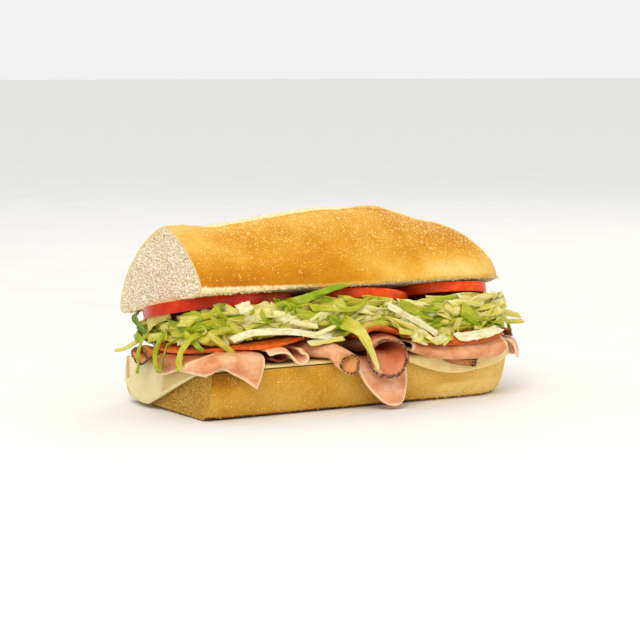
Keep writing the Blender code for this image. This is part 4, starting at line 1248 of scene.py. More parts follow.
def ham_cup(finish):
    """Slice curled into an open cup with a peppered rim."""
    stations = [((-1.8, -55.0, 24.0), 10.8, 9.6, (-0.2, -1.0, 0.12)),
                ((-0.8, -51.5, 27.2), 10.4, 7.6, (-0.1, -1.0, 0.3)),
                ((0.2, -46.5, 30.4), 9.4, 4.9, (0.0, -1.0, 0.3)),
                ((0.6, -38.0, 29.8), 8.6, 4.4, (0.0, -1.0, 0.0)),
                ((0.6, -24.0, 28.0), 8.2, 4.0, (0.0, -1.0, 0.0)),
                ((0.6, 26.0, 24.4), 8.0, 2.6, (0.0, -1.0, 0.0))]
    return shell_tube("ham_cup", stations, 80, 60, 1.2, 5, finish, ragged=0.7)


def ham_tongue(finish):
    """Slice whose rounded end hangs to just above the base."""
    left = [(-13.5, -34, 23.2), (-14.6, -45.4, 23.6), (-16.0, -49.4, 19.4), (-12.2, -50.9, 11.4),
            (-6.0, -53.8, 4.0), (-1.8, -55.4, 1.0)]
    middle = [(0.5, -34, 23.2), (0.5, -45.4, 23.6), (0.4, -49.4, 20.4), (1.2, -51.6, 11.0),
              (1.6, -54.8, 3.2), (1.9, -56.2, 0.4)]
    right = [(12.5, -34, 23.2), (12.5, -45.4, 23.6), (12.2, -49.2, 20.4), (11.8, -51.0, 11.4),
             (8.4, -54.2, 3.8), (5.2, -55.8, 1.0)]
    sheet("ham_tongue", rails_surface([left, middle, right]), 36, 60, THIN_HAM, finish, wave=0.25)


def drawn_back(x, y):
    """How far a slice's front draws back where the roll begins to round off."""
    return 1.6 * ease((x - 60.0) / 14.0) if y < -20 else 0.0


# The folded ham's round fold: places along the roll and heights of its nose
RIGHT_X = (13.0, 19.0, 28.5, 39.0, 51.0, 65.0, 72.0)
RIGHT_NOSE = (28.8, 26.8, 24.4, 22.9, 22.7, 22.6, 25.4)


def ham_right(finish):
    """Slice folded double, its round fold drooping past the front edge."""
    rows = ((30.0, 25.2, 0.0), (-20.0, 26.2, 0.0), (-40.0, 26.3, 0.0), (-47.6, 26.2, 0.3),
            (-52.4, -1.9, 1.0), (-54.2, 0.0, 1.0), (-52.6, 2.0, 1.0), (-46.0, 30.2, 0.2),
            (-38.0, 30.8, 0.0), (-20.0, 30.0, 0.0), (30.0, 27.4, 0.0))
    rails = []
    for y, level, follow in rows:
        rail = []
        for x, nose in zip(RIGHT_X, RIGHT_NOSE):
            z = nose + level if follow == 1.0 else level + (nose - 25.0) * follow
            rail.append((x, y + drawn_back(x, y), z))
        rails.append(rail)
    sheet("ham_right", rails_surface(rails), 120, 60, HAM, finish, wave=0.15)


def ham_end(finish):
    """Slice that droops round the rounded end of the roll."""
    angles = [math.radians(a) for a in (-58, -44, -30, -14, 4, 23, 42)]
    rows = ((0.64, 25.0), (0.86, 25.3), (0.99, 25.8), (1.10, 23.4), (1.16, 16.6))
    rails = []
    for reach, z in rows:
        rail = []
        for k, angle in enumerate(angles):
            c, s = math.cos(angle), math.sin(angle)
            edge = (abs(c) / ROUND_LENGTH) ** ROUND_POWER + (abs(s) / HALF_WIDTH) ** ROUND_POWER
            r = edge ** (-1 / ROUND_POWER) * reach
            lower = 1.2 * math.sin(2.1 * k) if reach > 1 else 0.0
            rail.append((ROUND_START + r * c, r * s, z + lower - 0.01 * r * s))
        rails.append(rail)
    sheet("ham_end", rails_surface(rails), 44, 70, HAM, finish, wave=0.2)


def peppered_roll(finish):
    """Small peppered roll that shows at the cut end."""
    stations = [((-103.4, 12.0, 25.0), 10.0, 4.6, (-1.0, 0.1, 0.1)),
                ((-100.0, 12.0, 26.9), 9.6, 3.2, (-1.0, 0.0, 0.4)),
                ((-94.0, 12.0, 26.4), 8.8, 2.2, (-1.0, 0.0, 0.0)),
                ((-72.0, 11.0, 26.4), 8.0, 2.4, (-1.0, 0.0, 0.0))]
    return shell_tube("peppered_roll", stations, 64, 40, 1.1, 3, finish, ragged=0.5)


def peppered_end(finish):
    """Small peppered curl that stands at the rounded end."""
    profile = [(76.0, 28.4), (79.8, 30.4), (84.4, 31.2), (88.0, 29.8), (89.4, 27.2)]
    line = [Vector((x, 0.0, z)) for x, z in profile]

    def surface(s, t):
        point = curve_at(line, t)
        return Vector((point.x - 2.0 * s * s, -34.0 + 17.0 * s, point.z))

    sheet("peppered_end", surface, 30, 30, HAM, finish, wave=0.15)


def peppered_scrap(finish):
    """Peppered tip of a slice that hangs between the folded ham and the crust."""
    rails = [[(34.0, -50.6, 20.6), (40.0, -50.6, 20.6), (46.0, -50.7, 19.9), (54.6, -50.6, 19.4)],
             [(35.0, -50.6, 19.9), (41.0, -50.6, 19.0), (47.0, -50.9, 18.2), (54.4, -50.7, 17.6)],
             [(36.0, -50.6, 19.2), (42.0, -50.6, 17.5), (49.0, -50.7, 16.4), (53.6, -50.6, 15.8)]]
    sheet("peppered_scrap", rails_surface(rails), 16, 40, 1.1, finish, wave=0.1)


# Salami


def left_level(x, y):
    """Height of the round slice at the cut end's side, which sinks to the left."""
    rise = 0.085 * min(x + 75.0, 20.0) - 0.003 * max(-75.0 - x, 0.0) ** 2
    return 33.4 + rise - 0.03 * min(y + 46.0, 16.0)


def salami_left(finish):
    """Round slice over the ham of the cut end's side."""
    x, y, wide, deep = -61.5, -6.5, 37.5, 39.5

    def outline(angle):
        r = 1 + 0.012 * math.sin(3 * angle + 0.7)
        return x + wide * r * math.cos(angle), y + deep * r * math.sin(angle)

    def surface(px, py):
        return Vector((px, py, left_level(px, py) - 0.045 * max(-40.0 - py, 0.0) ** 2))

    upper, lower = faces_of(surface, SALAMI)
    fractions = (0.2, 0.4, 0.6, 0.75, 0.85, 0.92, 0.96, 0.985, 1.0)
    disc("salami_left", outline, upper, lower, fractions, 140, finish)


# The arch of the fillings over the ham cup
VAULT_X = -3.0
VAULT_RISE = 4.2
VAULT_SPREAD = 11.0


def vault(x, y):
    """The slices arch over the ham cup, less and less towards the rear."""
    return VAULT_RISE * math.exp(-((x - VAULT_X) / VAULT_SPREAD) ** 2) * (1 - ease((y + 42.0) / 46.0))


# The arched slice: heights across the roll, and of its front rim along it
RIGHT_ACROSS = (-43.0, -32.0, -5.0, 24.0)
RIGHT_LEVELS = (33.2, 32.8, 31.4, 30.0)
RIM_X = (-15.0, -5.0, 6.0, 15.0, 24.0, 34.0, 48.0, 60.0, 71.0)
RIM_HEIGHT = (38.4, 39.7, 36.6, 32.4, 29.4, 28.2, 27.6, 28.6, 31.0)


def salami_right(finish):
    """Slice that arches over the ham cup and dips in front of the folded ham."""
    rows = ((-52.6, None), (-48.6, 3.4), *zip(RIGHT_ACROSS, RIGHT_LEVELS))
    rails = []
    for y, level in rows:
        rail = []
        for x, edge in zip(RIM_X, RIM_HEIGHT):
            if level is None:
                z = edge
            elif level < 10:
                z = min(edge + level, 33.0 + vault(x, y) * 1.3)
            else:
                z = level + vault(x, y)
            rail.append((x, y + drawn_back(x, y), z))
        rails.append(rail)
    sheet("salami_right", rails_surface(rails), 60, 100, SALAMI, finish, wave=0.1)


# Strips


def leaf(path, outward, width, roll, swirl, taper, thickness, cup=0.0, ruffle=0.0, tone=0.4, trend=0.0,
         odd=0.0):
    """Points, faces and marks of a thin strip along path. Its flat side faces
    outward, turned by roll degrees at the start and by swirl more at the end.
    It is cupped across, and its green edge is ruffled."""
    upper, lower = [], []
    marks = {mark: [] for mark in LEAF_MARKS}
    length = sum((a - b).length for a, b in zip(path, path[1:]))
    for k in range(LEAF_ROWS + 1):
        t = k / LEAF_ROWS
        place = curve_at(path, t)
        heading = (curve_at(path, t + 0.03) - curve_at(path, t - 0.03)).normalized()
        side = heading.cross(outward).normalized()
        facing = side.cross(heading).normalized()
        angle = math.radians(roll + swirl * t)
        turned = side * math.cos(angle) + facing * math.sin(angle)
        flat = turned.cross(heading)
        end = min(t, 1.0 - t) * length
        half = width * (1 + (taper - 1) * t) / 2 * (0.9 + 0.1 * min(end / 1.0, 1.0))
        for c in LEAF_COLUMNS:
            wild = half * (1.0 + 0.22 * rough((t * length, c * 3.0, odd), 2.4))
            stand = cup * half * (c * c - 0.4) + ruffle * max(c, 0.0) ** 2 * math.sin(t * length / 1.9 + odd)
            stand += (0.2 + 0.6 * tone) * rough((t * length, c * half * 1.6, odd), 3.2)
            skew = heading * (0.5 * half * c * (1.0 if k in (0, LEAF_ROWS) else 0.0))
            point = place + turned * (wild * c) + flat * stand + skew
            thin = thickness / 2 * (0.5 if abs(c) == 1.0 or k in (0, LEAF_ROWS) else 1.0)
            upper.append(point + flat * thin)
            lower.append(point - flat * thin)
            values = (tone + trend * (t - 0.5) + 0.16 * max(c, 0.0) ** 2, t * length, c * half, odd)
            for mark, value in zip(LEAF_MARKS, values):
                marks[mark].append(value)
    for mark in marks:
        marks[mark] = marks[mark] * 2
    return upper + lower, marks


LEAF_FACES = grid_faces(LEAF_ROWS + 1, len(LEAF_COLUMNS))


def join_leaves(name, leaves, finish, node=None):
    """Many strips as one piece."""
    points, faces = [], []
    marks = {mark: [] for mark in LEAF_MARKS}
    for places, values in leaves:
        base = len(points)
        points += places
        faces += [tuple(base + k for k in face) for face in LEAF_FACES]
        for mark in marks:
            marks[mark] += values[mark]
    return show(name, points, faces, [finish], node, marks=marks, sharp=70.0)


# Onion


# Strips of onion: name, width, roll and path
ONIONS = (
    ("onion_long", 3.4, 20,
     ((-84, -45, 37.4), (-73, -47, 40.2), (-54, -48, 39.6), (-40, -48, 37.2), (-29, -47, 35.4))),
    ("onion_front", 3.0, -15,
     ((1.5, -49.5, 49.4), (10, -51.5, 44.6), (20, -52.8, 39.0), (28.4, -53.4, 33.8))),
    ("onion_low", 5.6, 49, ((41, -52.6, 31.2), (50, -52.4, 31.2), (60, -52.2, 32.2), (68, -51.4, 34.2))),
    ("onion_top", 5.0, 10, ((-80.5, -44.6, 51.8), (-77, -45.4, 52.6), (-73.6, -45.4, 53.4))),
)


def onions(finish):
    """Strips of onion on and in front of the lettuce."""
    front = Vector((0.0, -1.0, 0.0))
    for k, (node, width, roll, path) in enumerate(ONIONS):
        line = [Vector(place) for place in path]
        strip = leaf(line, front, width, roll, 0.0, 0.9, ONION, cup=0.25, odd=3.1 * k)
        join_leaves(f"{node}_look", [strip], finish, node)


# Lettuce


def heap_top(x, y):
    """Upper face of the heap's core, below the tomato and the top half."""
    n = value_at(x, (-22.0, 8.0, 24.0, 56.0, 66.0), (-9.4, -12.0, -15.3, -15.3, -11.4))
    if x > -24.0:
        n += (-7.0 - n) * ease((y - 25.0) / 9.0)
    return Vector((x, y, under_lid(y, n)))


def heap_bottom(x, y):
    """Lower face of the heap's core, on the salami."""
    wider = VAULT_X + 0.8 * (x - VAULT_X)
    right = value_at(y, RIGHT_ACROSS, RIGHT_LEVELS) + 1.25 * vault(wider, y)
    left = left_level(x, y) - 7.0 * ease((x + 8.0) / 16.0)
    return Vector((x, y, max(left, right) + SALAMI / 2 + 2 * GAP))


def heap_outline(angle):
    """Edge of the heap's core in plan."""
    c, s = math.cos(angle), math.sin(angle)
    r = (abs(c) ** HEAP_POWER + abs(s) ** HEAP_POWER) ** (-1 / HEAP_POWER)
    along = HEAP_MIDDLE[0] + HEAP_HALF_LENGTH * r * c
    return along, HEAP_MIDDLE[1] + HEAP_HALF_DEPTH * r * s


def heap_core(finish):
    """The heap without its loose shreds, lumpy as packed leaves."""

    def lumps(point, fraction):
        outward = Vector((point.x - HEAP_MIDDLE[0], point.y * 2.2, 0.0)).normalized()
        depth = 0.9 * rough(point, 4.0) + 0.7 * rough(point, 1.8)
        return outward * (depth - 1.2) * (fraction == 1.0)

    fractions = (0.2, 0.4, 0.6, 0.75, 0.86, 0.93, 0.97, 1.0)
    disc("lettuce", heap_outline, heap_top, heap_bottom, fractions, 420, finish, 0.008, lumps)


# Shreds seen in the photograph, on the plane of the open front: places along
# the roll and heights there, how far they stand off the heap, width, roll,
# swirl, taper, tone from white rib to green leaf, and change of tone
FRONT_PLANE = -48.0
FRONT_SHREDS = (
    (((-123, 44.8), (-116, 46.0), (-108, 44.8), (-100, 45.7)), 6.5, 4.6, 10, 10, 1.0, 0.66, 0.1),
    (((-101, 45.6), (-93, 46.2), (-85, 46.6), (-77, 47.3)), 6.5, 4.2, -10, 10, 0.9, 0.42, -0.1),
    (((-114, 49.0), (-109, 50.2), (-103, 50.2)), 5.5, 6.0, 20, -10, 0.7, 0.58, 0.0),
    (((-97, 50.2), (-93, 52.6), (-90, 55.5)), 5.5, 3.2, 0, 40, 0.4, 0.8, 0.1),
    (((-113, 42.5), (-108, 38.2), (-102, 33.2)), 9.0, 3.6, 10, 20, 0.6, 0.62, 0.2),
    (((-99, 41.0), (-91, 35.6), (-83, 29.4)), 8.5, 3.4, -20, 10, 0.8, 0.34, 0.25),
    (((-103, 37.5), (-95, 42.0), (-87, 43.4)), 7.5, 5.0, 20, 20, 0.7, 0.36, 0.0),
    (((-75, 52.0), (-73, 47.7), (-68, 45.6)), 6.0, 2.6, 0, 70, 0.8, 0.6, 0.1),
    (((-70, 51.0), (-67, 46.0), (-61, 42.5), (-57, 48.0), (-55, 51.7)), 7.0, 2.8, 10, 50, 0.7, 0.56, 0.1),
    (((-64, 51.3), (-56, 46.5), (-50, 49.7)), 5.0, 7.0, 30, -40, 0.6, 0.22, 0.0),
    (((-61, 53.2), (-55, 53.4), (-54, 50.0), (-58, 49.0)), 6.0, 2.4, 0, 60, 0.8, 0.62, 0.0),
    (((-50, 48.6), (-42, 46.6), (-34, 47.0)), 7.0, 4.4, 20, -20, 0.9, 0.55, 0.1),
    (((-54, 44.8), (-46, 42.6), (-38, 41.2)), 8.0, 3.2, -10, 0, 0.8, 0.02, 0.1),
    (((-42, 36.6), (-35, 38.4), (-28, 41.0)), 9.0, 2.8, 10, 10, 0.7, 0.02, 0.0),
    (((-79, 42.9), (-66, 43.0), (-53, 41.4)), 7.0, 4.0, 20, 0, 0.8, 0.18, 0.1),
    (((-87, 44.2), (-81, 40.5), (-75, 38.0)), 7.5, 4.8, 0, 30, 0.6, 0.4, 0.1),
    (((-42, 50.6), (-30, 49.4), (-18, 48.7), (-11, 51.7)), 7.5, 3.6, 10, 10, 0.7, 0.48, 0.1),
    (((-41, 43.4), (-34, 47.2), (-27, 50.1)), 7.0, 5.4, -20, 30, 0.7, 0.12, 0.1),
    (((-31, 45.0), (-25, 41.2), (-19, 42.5)), 9.0, 4.6, 10, -30, 0.6, 0.72, 0.0),
    (((-43, 33.2), (-33, 33.8), (-23, 34.6)), 9.0, 3.0, 25, 0, 0.8, 0.12, 0.1),
    (((-14, 38.6), (-5, 41.0), (5, 39.6)), 8.0, 4.4, 35, 0, 0.8, 0.34, 0.0),
    (((-2, 48.2), (2, 44.3), (6, 41.5)), 7.0, 3.0, 0, 20, 0.8, 0.55, 0.1),
    (((4, 43.0), (9, 37.4), (16, 33.8), (25, 32.8)), 9.5, 6.6, 15, 25, 0.9, 0.55, 0.2),
    (((10, 49.2), (22, 45.2), (35, 44.4)), 7.0, 5.2, 10, -20, 0.8, 0.5, -0.1),
    (((31, 45.6), (40, 40.4), (46, 34.3)), 7.0, 4.6, 20, 60, 0.6, 0.14, 0.0),
    (((40, 48.0), (49, 48.3), (59, 47.0)), 6.0, 5.0, 40, 0, 0.7, 0.16, 0.0),
    (((16, 47.6), (25, 49.6), (34, 49.0)), 3.0, 4.0, 30, 20, 0.8, 0.3, 0.2),
    (((30, 49.8), (41, 49.2), (52, 49.8)), 2.0, 3.8, 50, -20, 0.8, 0.5, -0.2),
    (((46, 50.6), (55, 49.6), (63, 50.2)), 2.0, 4.2, 20, 40, 0.8, 0.2, 0.3),
    (((20, 44.6), (27, 47.6), (36, 50.4)), 4.0, 3.4, 10, 50, 0.7, 0.62, 0.1),
    (((26, 51.4), (36, 50.8), (45, 51.6)), 0.5, 3.0, 10, 10, 0.8, 0.3, 0.1),
    (((42, 51.2), (52, 51.9), (63, 50.7)), 1.0, 3.0, 5, -20, 0.8, 0.14, 0.2),
    (((29, 48.6), (37, 50.2), (44, 51.2)), 1.5, 2.6, 20, 30, 0.8, 0.6, 0.0),
    (((52, 49.4), (59, 51.0), (66, 50.6)), 1.5, 2.8, 0, 20, 0.8, 0.42, 0.1),
    (((12, 36.2), (20, 33.0), (30, 31.8), (40, 31.4)), 10.0, 5.4, 20, 20, 0.8, 0.5, 0.2),
    (((36, 33.6), (43, 31.6), (50, 31.0)), 11.0, 4.2, 30, 10, 0.8, 0.24, 0.1),
    (((61, 47.0), (70, 40.2), (78, 37.0), (88, 36.5)), 5.0, 4.0, 20, 20, 0.6, 0.26, 0.0),
    (((73, 41.4), (78, 36.8), (80, 30.8)), 5.0, 4.4, 0, 30, 0.7, 0.4, 0.2),
    (((58, 36.6), (66, 33.6), (72, 27.6)), 7.0, 5.0, 10, 20, 0.6, 0.62, 0.2),
    (((47, 45.0), (56, 39.0), (62, 31.0)), 8.5, 7.2, -10, 40, 0.8, 0.56, 0.2),
    (((46, 40.4), (41, 33.6), (38, 25.4)), 10.0, 3.6, 10, 30, 0.7, 0.2, 0.1),
    (((46, 40.4), (45, 34.6), (46, 29.4)), 9.5, 2.6, 10, 30, 0.5, 0.26, 0.1),
    (((22, 32.2), (29, 28.6), (35, 26.1)), 9.5, 2.8, 0, 30, 0.5, 0.7, 0.1),
    (((17, 43.0), (26, 37.0), (33, 33.5)), 8.0, 5.6, 30, 10, 0.8, 0.16, 0.1),
)

# Shreds that hang clear of the heap: path, width, roll, swirl, taper, tone and change of tone
LOOSE_SHREDS = (
    (((-84, -7, 40), (-97, -7, 38.6), (-103.4, -7.4, 33), (-105.4, -8, 25), (-105.0, -11, 20.5),
      (-105.0, -15, 22), (-105.2, -17, 29), (-101, -18, 35), (-88, -19, 39)), 2.6, 20, 60, 0.8, 0.62, 0.1),
    (((-76, -27, 40), (-95, -30, 38.5), (-102.6, -31, 33), (-105.2, -32, 28), (-105.2, -33, 23)),
     3.2, 0, 40, 0.9, 0.5, -0.1),
    (((-22, -34, 45), (-24, -47, 43), (-19, -55, 39), (-15.5, -59, 31), (-11.0, -60.2, 20)),
     9.0, -30, 30, 0.24, 0.34, -0.5),
    (((-50, -34, 50), (-46, -43, 53.4), (-34, -44, 57.0), (-20, -43.6, 60.4)), 6.4, 25, 20, 0.4, 0.66, 0.1),
    (((66, -24, 42), (80, -27, 40.6), (90, -30, 38.6), (97.4, -30, 36.8)), 4.4, 0, 30, 0.6, 0.2, 0.1),
    (((-74, 16, 36), (-90, 19, 34.8), (-98.5, 22.4, 31.0), (-101.8, 29, 27.0), (-104, 37, 24.6)),
     2.6, 0, 30, 0.7, 0.2, 0.0),
    (((-72, -31, 43), (-88, -41, 45.6), (-94, -43.5, 49.4), (-92, -44.5, 52.4),
      (-88.6, -43.5, 49), (-78, -34, 45)),
     2.2, 0, 0, 1.0, 0.56, 0.1),
    (((-92, 34, 44.6), (-97, 29, 42.2), (-98.5, 22, 38.8), (-99, 13, 36.0)), 3.8, 10, 10, 0.7, 0.92, 0.0),
    (((-90, 18, 37.0), (-98, 13, 39.0), (-99, 4, 43.4), (-97, -8, 46.8)), 7.0, 10, 0, 0.7, 0.2, 0.1),
    (((-94, 15, 32.6), (-100, 8, 33.6), (-101, 0, 35.4), (-99, -9, 36.4)), 5.0, 20, 10, 0.8, 0.3, 0.2),
    (((-92, 29, 35.6), (-99, 24, 34.0), (-99.5, 17, 31.4)), 4.6, 0, 30, 0.7, 0.6, 0.1),
    (((-92, 10, 36), (-102, 10.4, 34), (-105.6, 9, 27), (-106.2, 8, 21.5), (-104.4, 12, 16.4)),
     1.9, 0, 20, 0.8, 0.6, 0.1),
)


def heap_side(x, z, stand):
    """The place on the heap's side, grown by stand, that the camera sees
    through the point of the front plane at x, z. Where the line of sight
    misses the heap, it is the place where the line passes nearest."""
    point = Vector((x, FRONT_PLANE, z))
    sight = Vector((-math.tan(AZIMUTH), 1.0, -math.tan(ELEVATION) / math.cos(AZIMUTH)))
    step, steps = 0.5, 200
    nearest, least = point.copy(), math.inf
    for _ in range(steps):
        reach_x = abs((point.x - HEAP_MIDDLE[0]) / (HEAP_HALF_LENGTH + stand))
        reach_y = abs((point.y - HEAP_MIDDLE[1]) / (HEAP_HALF_DEPTH + stand))
        spread = reach_x ** HEAP_POWER + reach_y ** HEAP_POWER
        if spread < least:
            nearest, least = point.copy(), spread
        if spread <= 1.0:
            break
        point += sight * step
    return nearest


def outward_at(point):
    """Level direction away from the heap at a place on its side."""
    across = (point.y - HEAP_MIDDLE[1]) / HEAP_HALF_DEPTH
    along = (point.x - HEAP_MIDDLE[0]) / HEAP_HALF_LENGTH
    return Vector((along ** 3 / HEAP_HALF_LENGTH, across ** 3 / HEAP_HALF_DEPTH, 0.0)).normalized()


def draped_path(rng):
    """Path over the sloping edge of the meat on the rounded end's side."""
    x, rise = rng.uniform(6.0, 70.0), rng.uniform(2.0, 9.0)
    length, slope = rng.uniform(12.0, 30.0), rng.gauss(0.0, 0.6)
    clear, wave = rng.uniform(1.0, 3.2), rng.uniform(0.0, 1.2)
    path = []
    for k in range(6):
        t = k / 5 - 0.5
        place = min(max(x + length * t * math.cos(slope), 4.0), 76.0)
        rim = value_at(place, RIM_X, RIM_HEIGHT)
        z = max(rim + rise + length * t * math.sin(slope), rim - 0.6)
        y = -value_at(z, (rim, rim + 3.4, max(rim + 4.0, 33.2), 38.0), (52.6, 48.6, 43.0, 41.0))
        path.append(Vector((place, y - clear - wave * math.cos(5.0 * t), z + 0.6 * clear)))
    return path


def shred_thickness(tone):
    """A white rib is thicker than a green leaf."""
    return 0.9 - 0.4 * tone


def random_shred(rng, apron):
    """Path, outward direction and form of a shred on the heap's side, or of
    one draped over the edge of the meat in front of it."""
    turn = rng.uniform(0.0, 2 * math.pi)
    place = Vector(heap_outline(turn))
    ahead = Vector(heap_outline(turn + 0.02)) - Vector(heap_outline(turn - 0.02))
    along = Vector((ahead.x, ahead.y, 0.0)).normalized()
    outward = Vector((along.y, -along.x, 0.0))
    low = heap_bottom(*place).z
    high = heap_top(*place).z
    level = low + (high - low) * rng.uniform(0.0, 1.05)
    if place.x > 30.0:
        level += rng.uniform(0.0, 4.0)
    length = rng.uniform(14.0, 38.0)
    slope = math.radians(rng.gauss(0.0, 26.0))
    heading = along * math.cos(slope) + Vector((0.0, 0.0, math.sin(slope)))
    if rng.random() < 0.5:
        heading = -heading
    middle = Vector((place.x, place.y, level)) + outward * rng.uniform(-1.5, 4.5)
    wave = rng.uniform(0.5, 3.0)
    phase = rng.uniform(0.0, 2 * math.pi)
    droop = rng.uniform(-1.0, 3.5)
    path = []
    for k in range(6):
        t = k / 5 - 0.5
        out = outward * (wave * math.cos(2.6 * math.pi * t + phase) + 3.2 * (0.25 - t * t) * 4 - 1.6)
        path.append(middle + heading * (length * t) + out - Vector((0.0, 0.0, droop * 4 * t * t)))
    if apron:
        path, outward = draped_path(rng), Vector((0.0, -0.8, 0.6))
    tone = rng.choice([rng.uniform(low, high) for low, high in SHRED_TONES])
    form = {key: rng.uniform(low, high) for key, (low, high) in SHRED_FORM.items()}
    form["ruffle"] *= tone
    return path, outward, {**form, "tone": tone, "thickness": shred_thickness(tone)}


def neighbour_trees():
    """Search trees of every CAD node that the lettuce has to stay clear of."""
    trees = []
    for name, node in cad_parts.items():
        if name != "lettuce":
            points = [v.co / MM - Vector((0.0, 0.0, BASE_DROP)) for v in node.data.vertices]
            trees.append(BVHTree.FromPolygons(points, [tuple(p.vertices) for p in node.data.polygons]))
    return trees


def noted_shreds(rng):
    """The shreds that the photograph shows one by one."""
    leaves = []
    for places, stand, width, roll, swirl, taper, tone, trend in FRONT_SHREDS:
        seen = [heap_side(x, z, stand) for x, z in places]
        outward = outward_at(seen[len(seen) // 2])
        leaves.append(leaf(seen, outward, width, roll, swirl, taper, shred_thickness(tone),
                           rng.uniform(-0.35, 0.35), 0.6 * tone, tone, trend, rng.uniform(0.0, 60.0)))
    for path, width, roll, swirl, taper, tone, trend in LOOSE_SHREDS:
        line = [Vector(place) for place in path]
        outward = Vector((0.0, -1.0, 0.0))
        if line[len(line) // 2].x < CUT_END + 0.5:
            outward = Vector((-1.0, -0.3, 0.0)).normalized()
        leaves.append(leaf(line, outward, width, roll, swirl, taper, 0.6, rng.uniform(-0.2, 0.2), 0.9 * tone,
                           tone, trend, rng.uniform(0.0, 60.0)))
    return leaves


def misplaced(path):
    """Whether a shred would rise past the heap or hide the meat's droop at the
    rounded end."""
    risen = any(p.z > heap_top(p.x, p.y).z + SHRED_RISE for p in path)
    return risen or any(p.x > CLEAR_END and p.z < CLEAR_BELOW and p.y < 0.0 for p in path)


def lettuce(finish, inside):
    """Core, noted shreds and the many random ones that clear every other piece."""
    rng = random.Random(LETTUCE_SEED)
    heap_core(inside)
    leaves = noted_shreds(rng)
    trees = neighbour_trees()
    for count in range(SHRED_COUNT + APRON_COUNT):
        for _ in range(SHRED_TRIES):
            path, outward, form = random_shred(rng, count >= SHRED_COUNT)
            strip = leaf(path, outward, **form)
            if misplaced(path):
                continue
            body = BVHTree.FromPolygons(strip[0], LEAF_FACES)
            if not any(body.overlap(tree) for tree in trees):
                leaves.append(strip)
                break
    pale = [strip for strip in leaves if strip[1]["tone"][0] < RIB_TONE]
    green = [strip for strip in leaves if strip[1]["tone"][0] >= RIB_TONE]
    join_leaves("lettuce_shreds", green, finish)
    join_leaves("lettuce_ribs", pale, finish)


# Grains, pepper and crumbs


def scatter(name, places, sizes, finish, rng, flat=1.0):
    """Small eight-sided grains at places, as one piece."""
    corners = np.array([(1, 0, 0), (-1, 0, 0), (0, 1, 0), (0, -1, 0), (0, 0, 1), (0, 0, -1)], float)
    sides = np.array([(0, 2, 4), (2, 1, 4), (1, 3, 4), (3, 0, 4), (2, 0, 5), (1, 2, 5), (3, 1, 5), (0, 3, 5)])
    count = len(places)
    spins = rng.normal(size=(count, 3, 3))
    frames = np.linalg.qr(spins)[0]
    stretch = np.asarray(sizes)[:, None] * rng.uniform(0.65, 1.25, (count, 3)) * (1.0, 1.0, flat)
    shaped = corners[None] * stretch[:, None]
    points = np.einsum("nij,nkj->nki", frames, shaped) + np.asarray([tuple(p) for p in places])[:, None]
    faces = (sides[None] + 6 * np.arange(count)[:, None, None]).reshape(-1, 3)
    return show(name, points.reshape(-1, 3), faces.tolist(), [finish], sharp=180.0)


def cornmeal(finish):
    """Cornmeal on the crust, thickest on the crest and the right half."""
    rng = np.random.default_rng(CORNMEAL_SEED)
    places, sizes = [], []
    while len(places) < TOP_GRAINS:
        x = rng.uniform(CUT_END + 1.0, TIP - 3.0)
        angle = math.acos(1.0 - 2.0 * rng.uniform(0.01, 0.99))
        v, n = lid_section(x, angle)
        share = 0.25 + 0.5 * ease((n - 6.0) / 20.0) + 0.25 * ease((x + 50.0) / 80.0)
        share *= 0.6 + 0.8 * (0.5 + rough((x, v, n + 40.0), 13.0))
        share *= 1.0 - max(score_share(x, v), torn_share(x, v, n))
        if rng.random() < share:
            width = lid_section(x, math.pi)[0] - lid_section(x, 0.0)[0]
            places.append(from_lid(lid_place(x), v, n + lid_relief(x, v, n, width)[0] + 0.08))
            sizes.append(rng.uniform(*GRAIN_SIZE))
    while len(places) < TOP_GRAINS + BOTTOM_GRAINS:
        x = rng.uniform(CUT_END + 1.0, TIP - 8.0)
        rise = rng.uniform(0.03, 0.95)
        inset = BASE_INSET * (1 - math.sqrt(1 - (1 - rise) ** 2))
        front = roll_half_width(x, HALF_WIDTH - inset, ROUND_POWER)
        low = ease((0.4 - rise) / 0.3) * ease((x - 25.0) / 15.0)
        if rng.random() < 0.3 + 0.7 * low:
            bulge = edge_wave(x) * rise * front / HALF_WIDTH
            level = -BASE_DROP + (cut_level(-front) + BASE_DROP) * rise
            y = -front - bulge
            if rng.random() >= 0.6:
                y = front - REAR_SHOULDER * ease((rise - 0.45) / 0.55) - 1.5
            places.append(Vector((base_place(x, inset), y, level)))
            sizes.append(rng.uniform(0.2, 0.42 + 0.3 * low))
    scatter("cornmeal", places, sizes, finish, rng)


def pepper(finish, mouths):
    """Cracked pepper on the rims of the peppered slices, and three grains on
    the hanging ham."""
    rng = np.random.default_rng(PEPPER_SEED)
    places = []
    for mouth in mouths:
        around = sum((a - b).length for a, b in zip(mouth, mouth[1:]))
        for _ in range(int(around * PEPPER_PER_MM)):
            k = int(rng.integers(len(mouth)))
            place = mouth[k].lerp(mouth[(k + 1) % len(mouth)], rng.random())
            places.append(place + Vector(rng.normal(0.0, PEPPER_SPREAD, 3)))
    for _ in range(END_PEPPER):
        t = rng.uniform(0.0, 1.0)
        places.append(Vector((76.0 + 13.0 * t, -34.0 - 0.3, 28.2 + 6.4 * t * (1 - t) + rng.normal(0.0, 0.5))))
    for _ in range(SCRAP_PEPPER):
        places.append(Vector((52.6 + rng.normal(0.0, 1.2), -51.3, 17.6 + rng.normal(0.0, 1.4))))
    places += [Vector((5.4, -51.7, 13.0)), Vector((8.6, -51.6, 12.0)), Vector((-4.0, -51.6, 14.6))]
    sizes = rng.uniform(*PEPPER_SIZE, len(places))
    scatter("pepper", places, sizes, finish, rng)


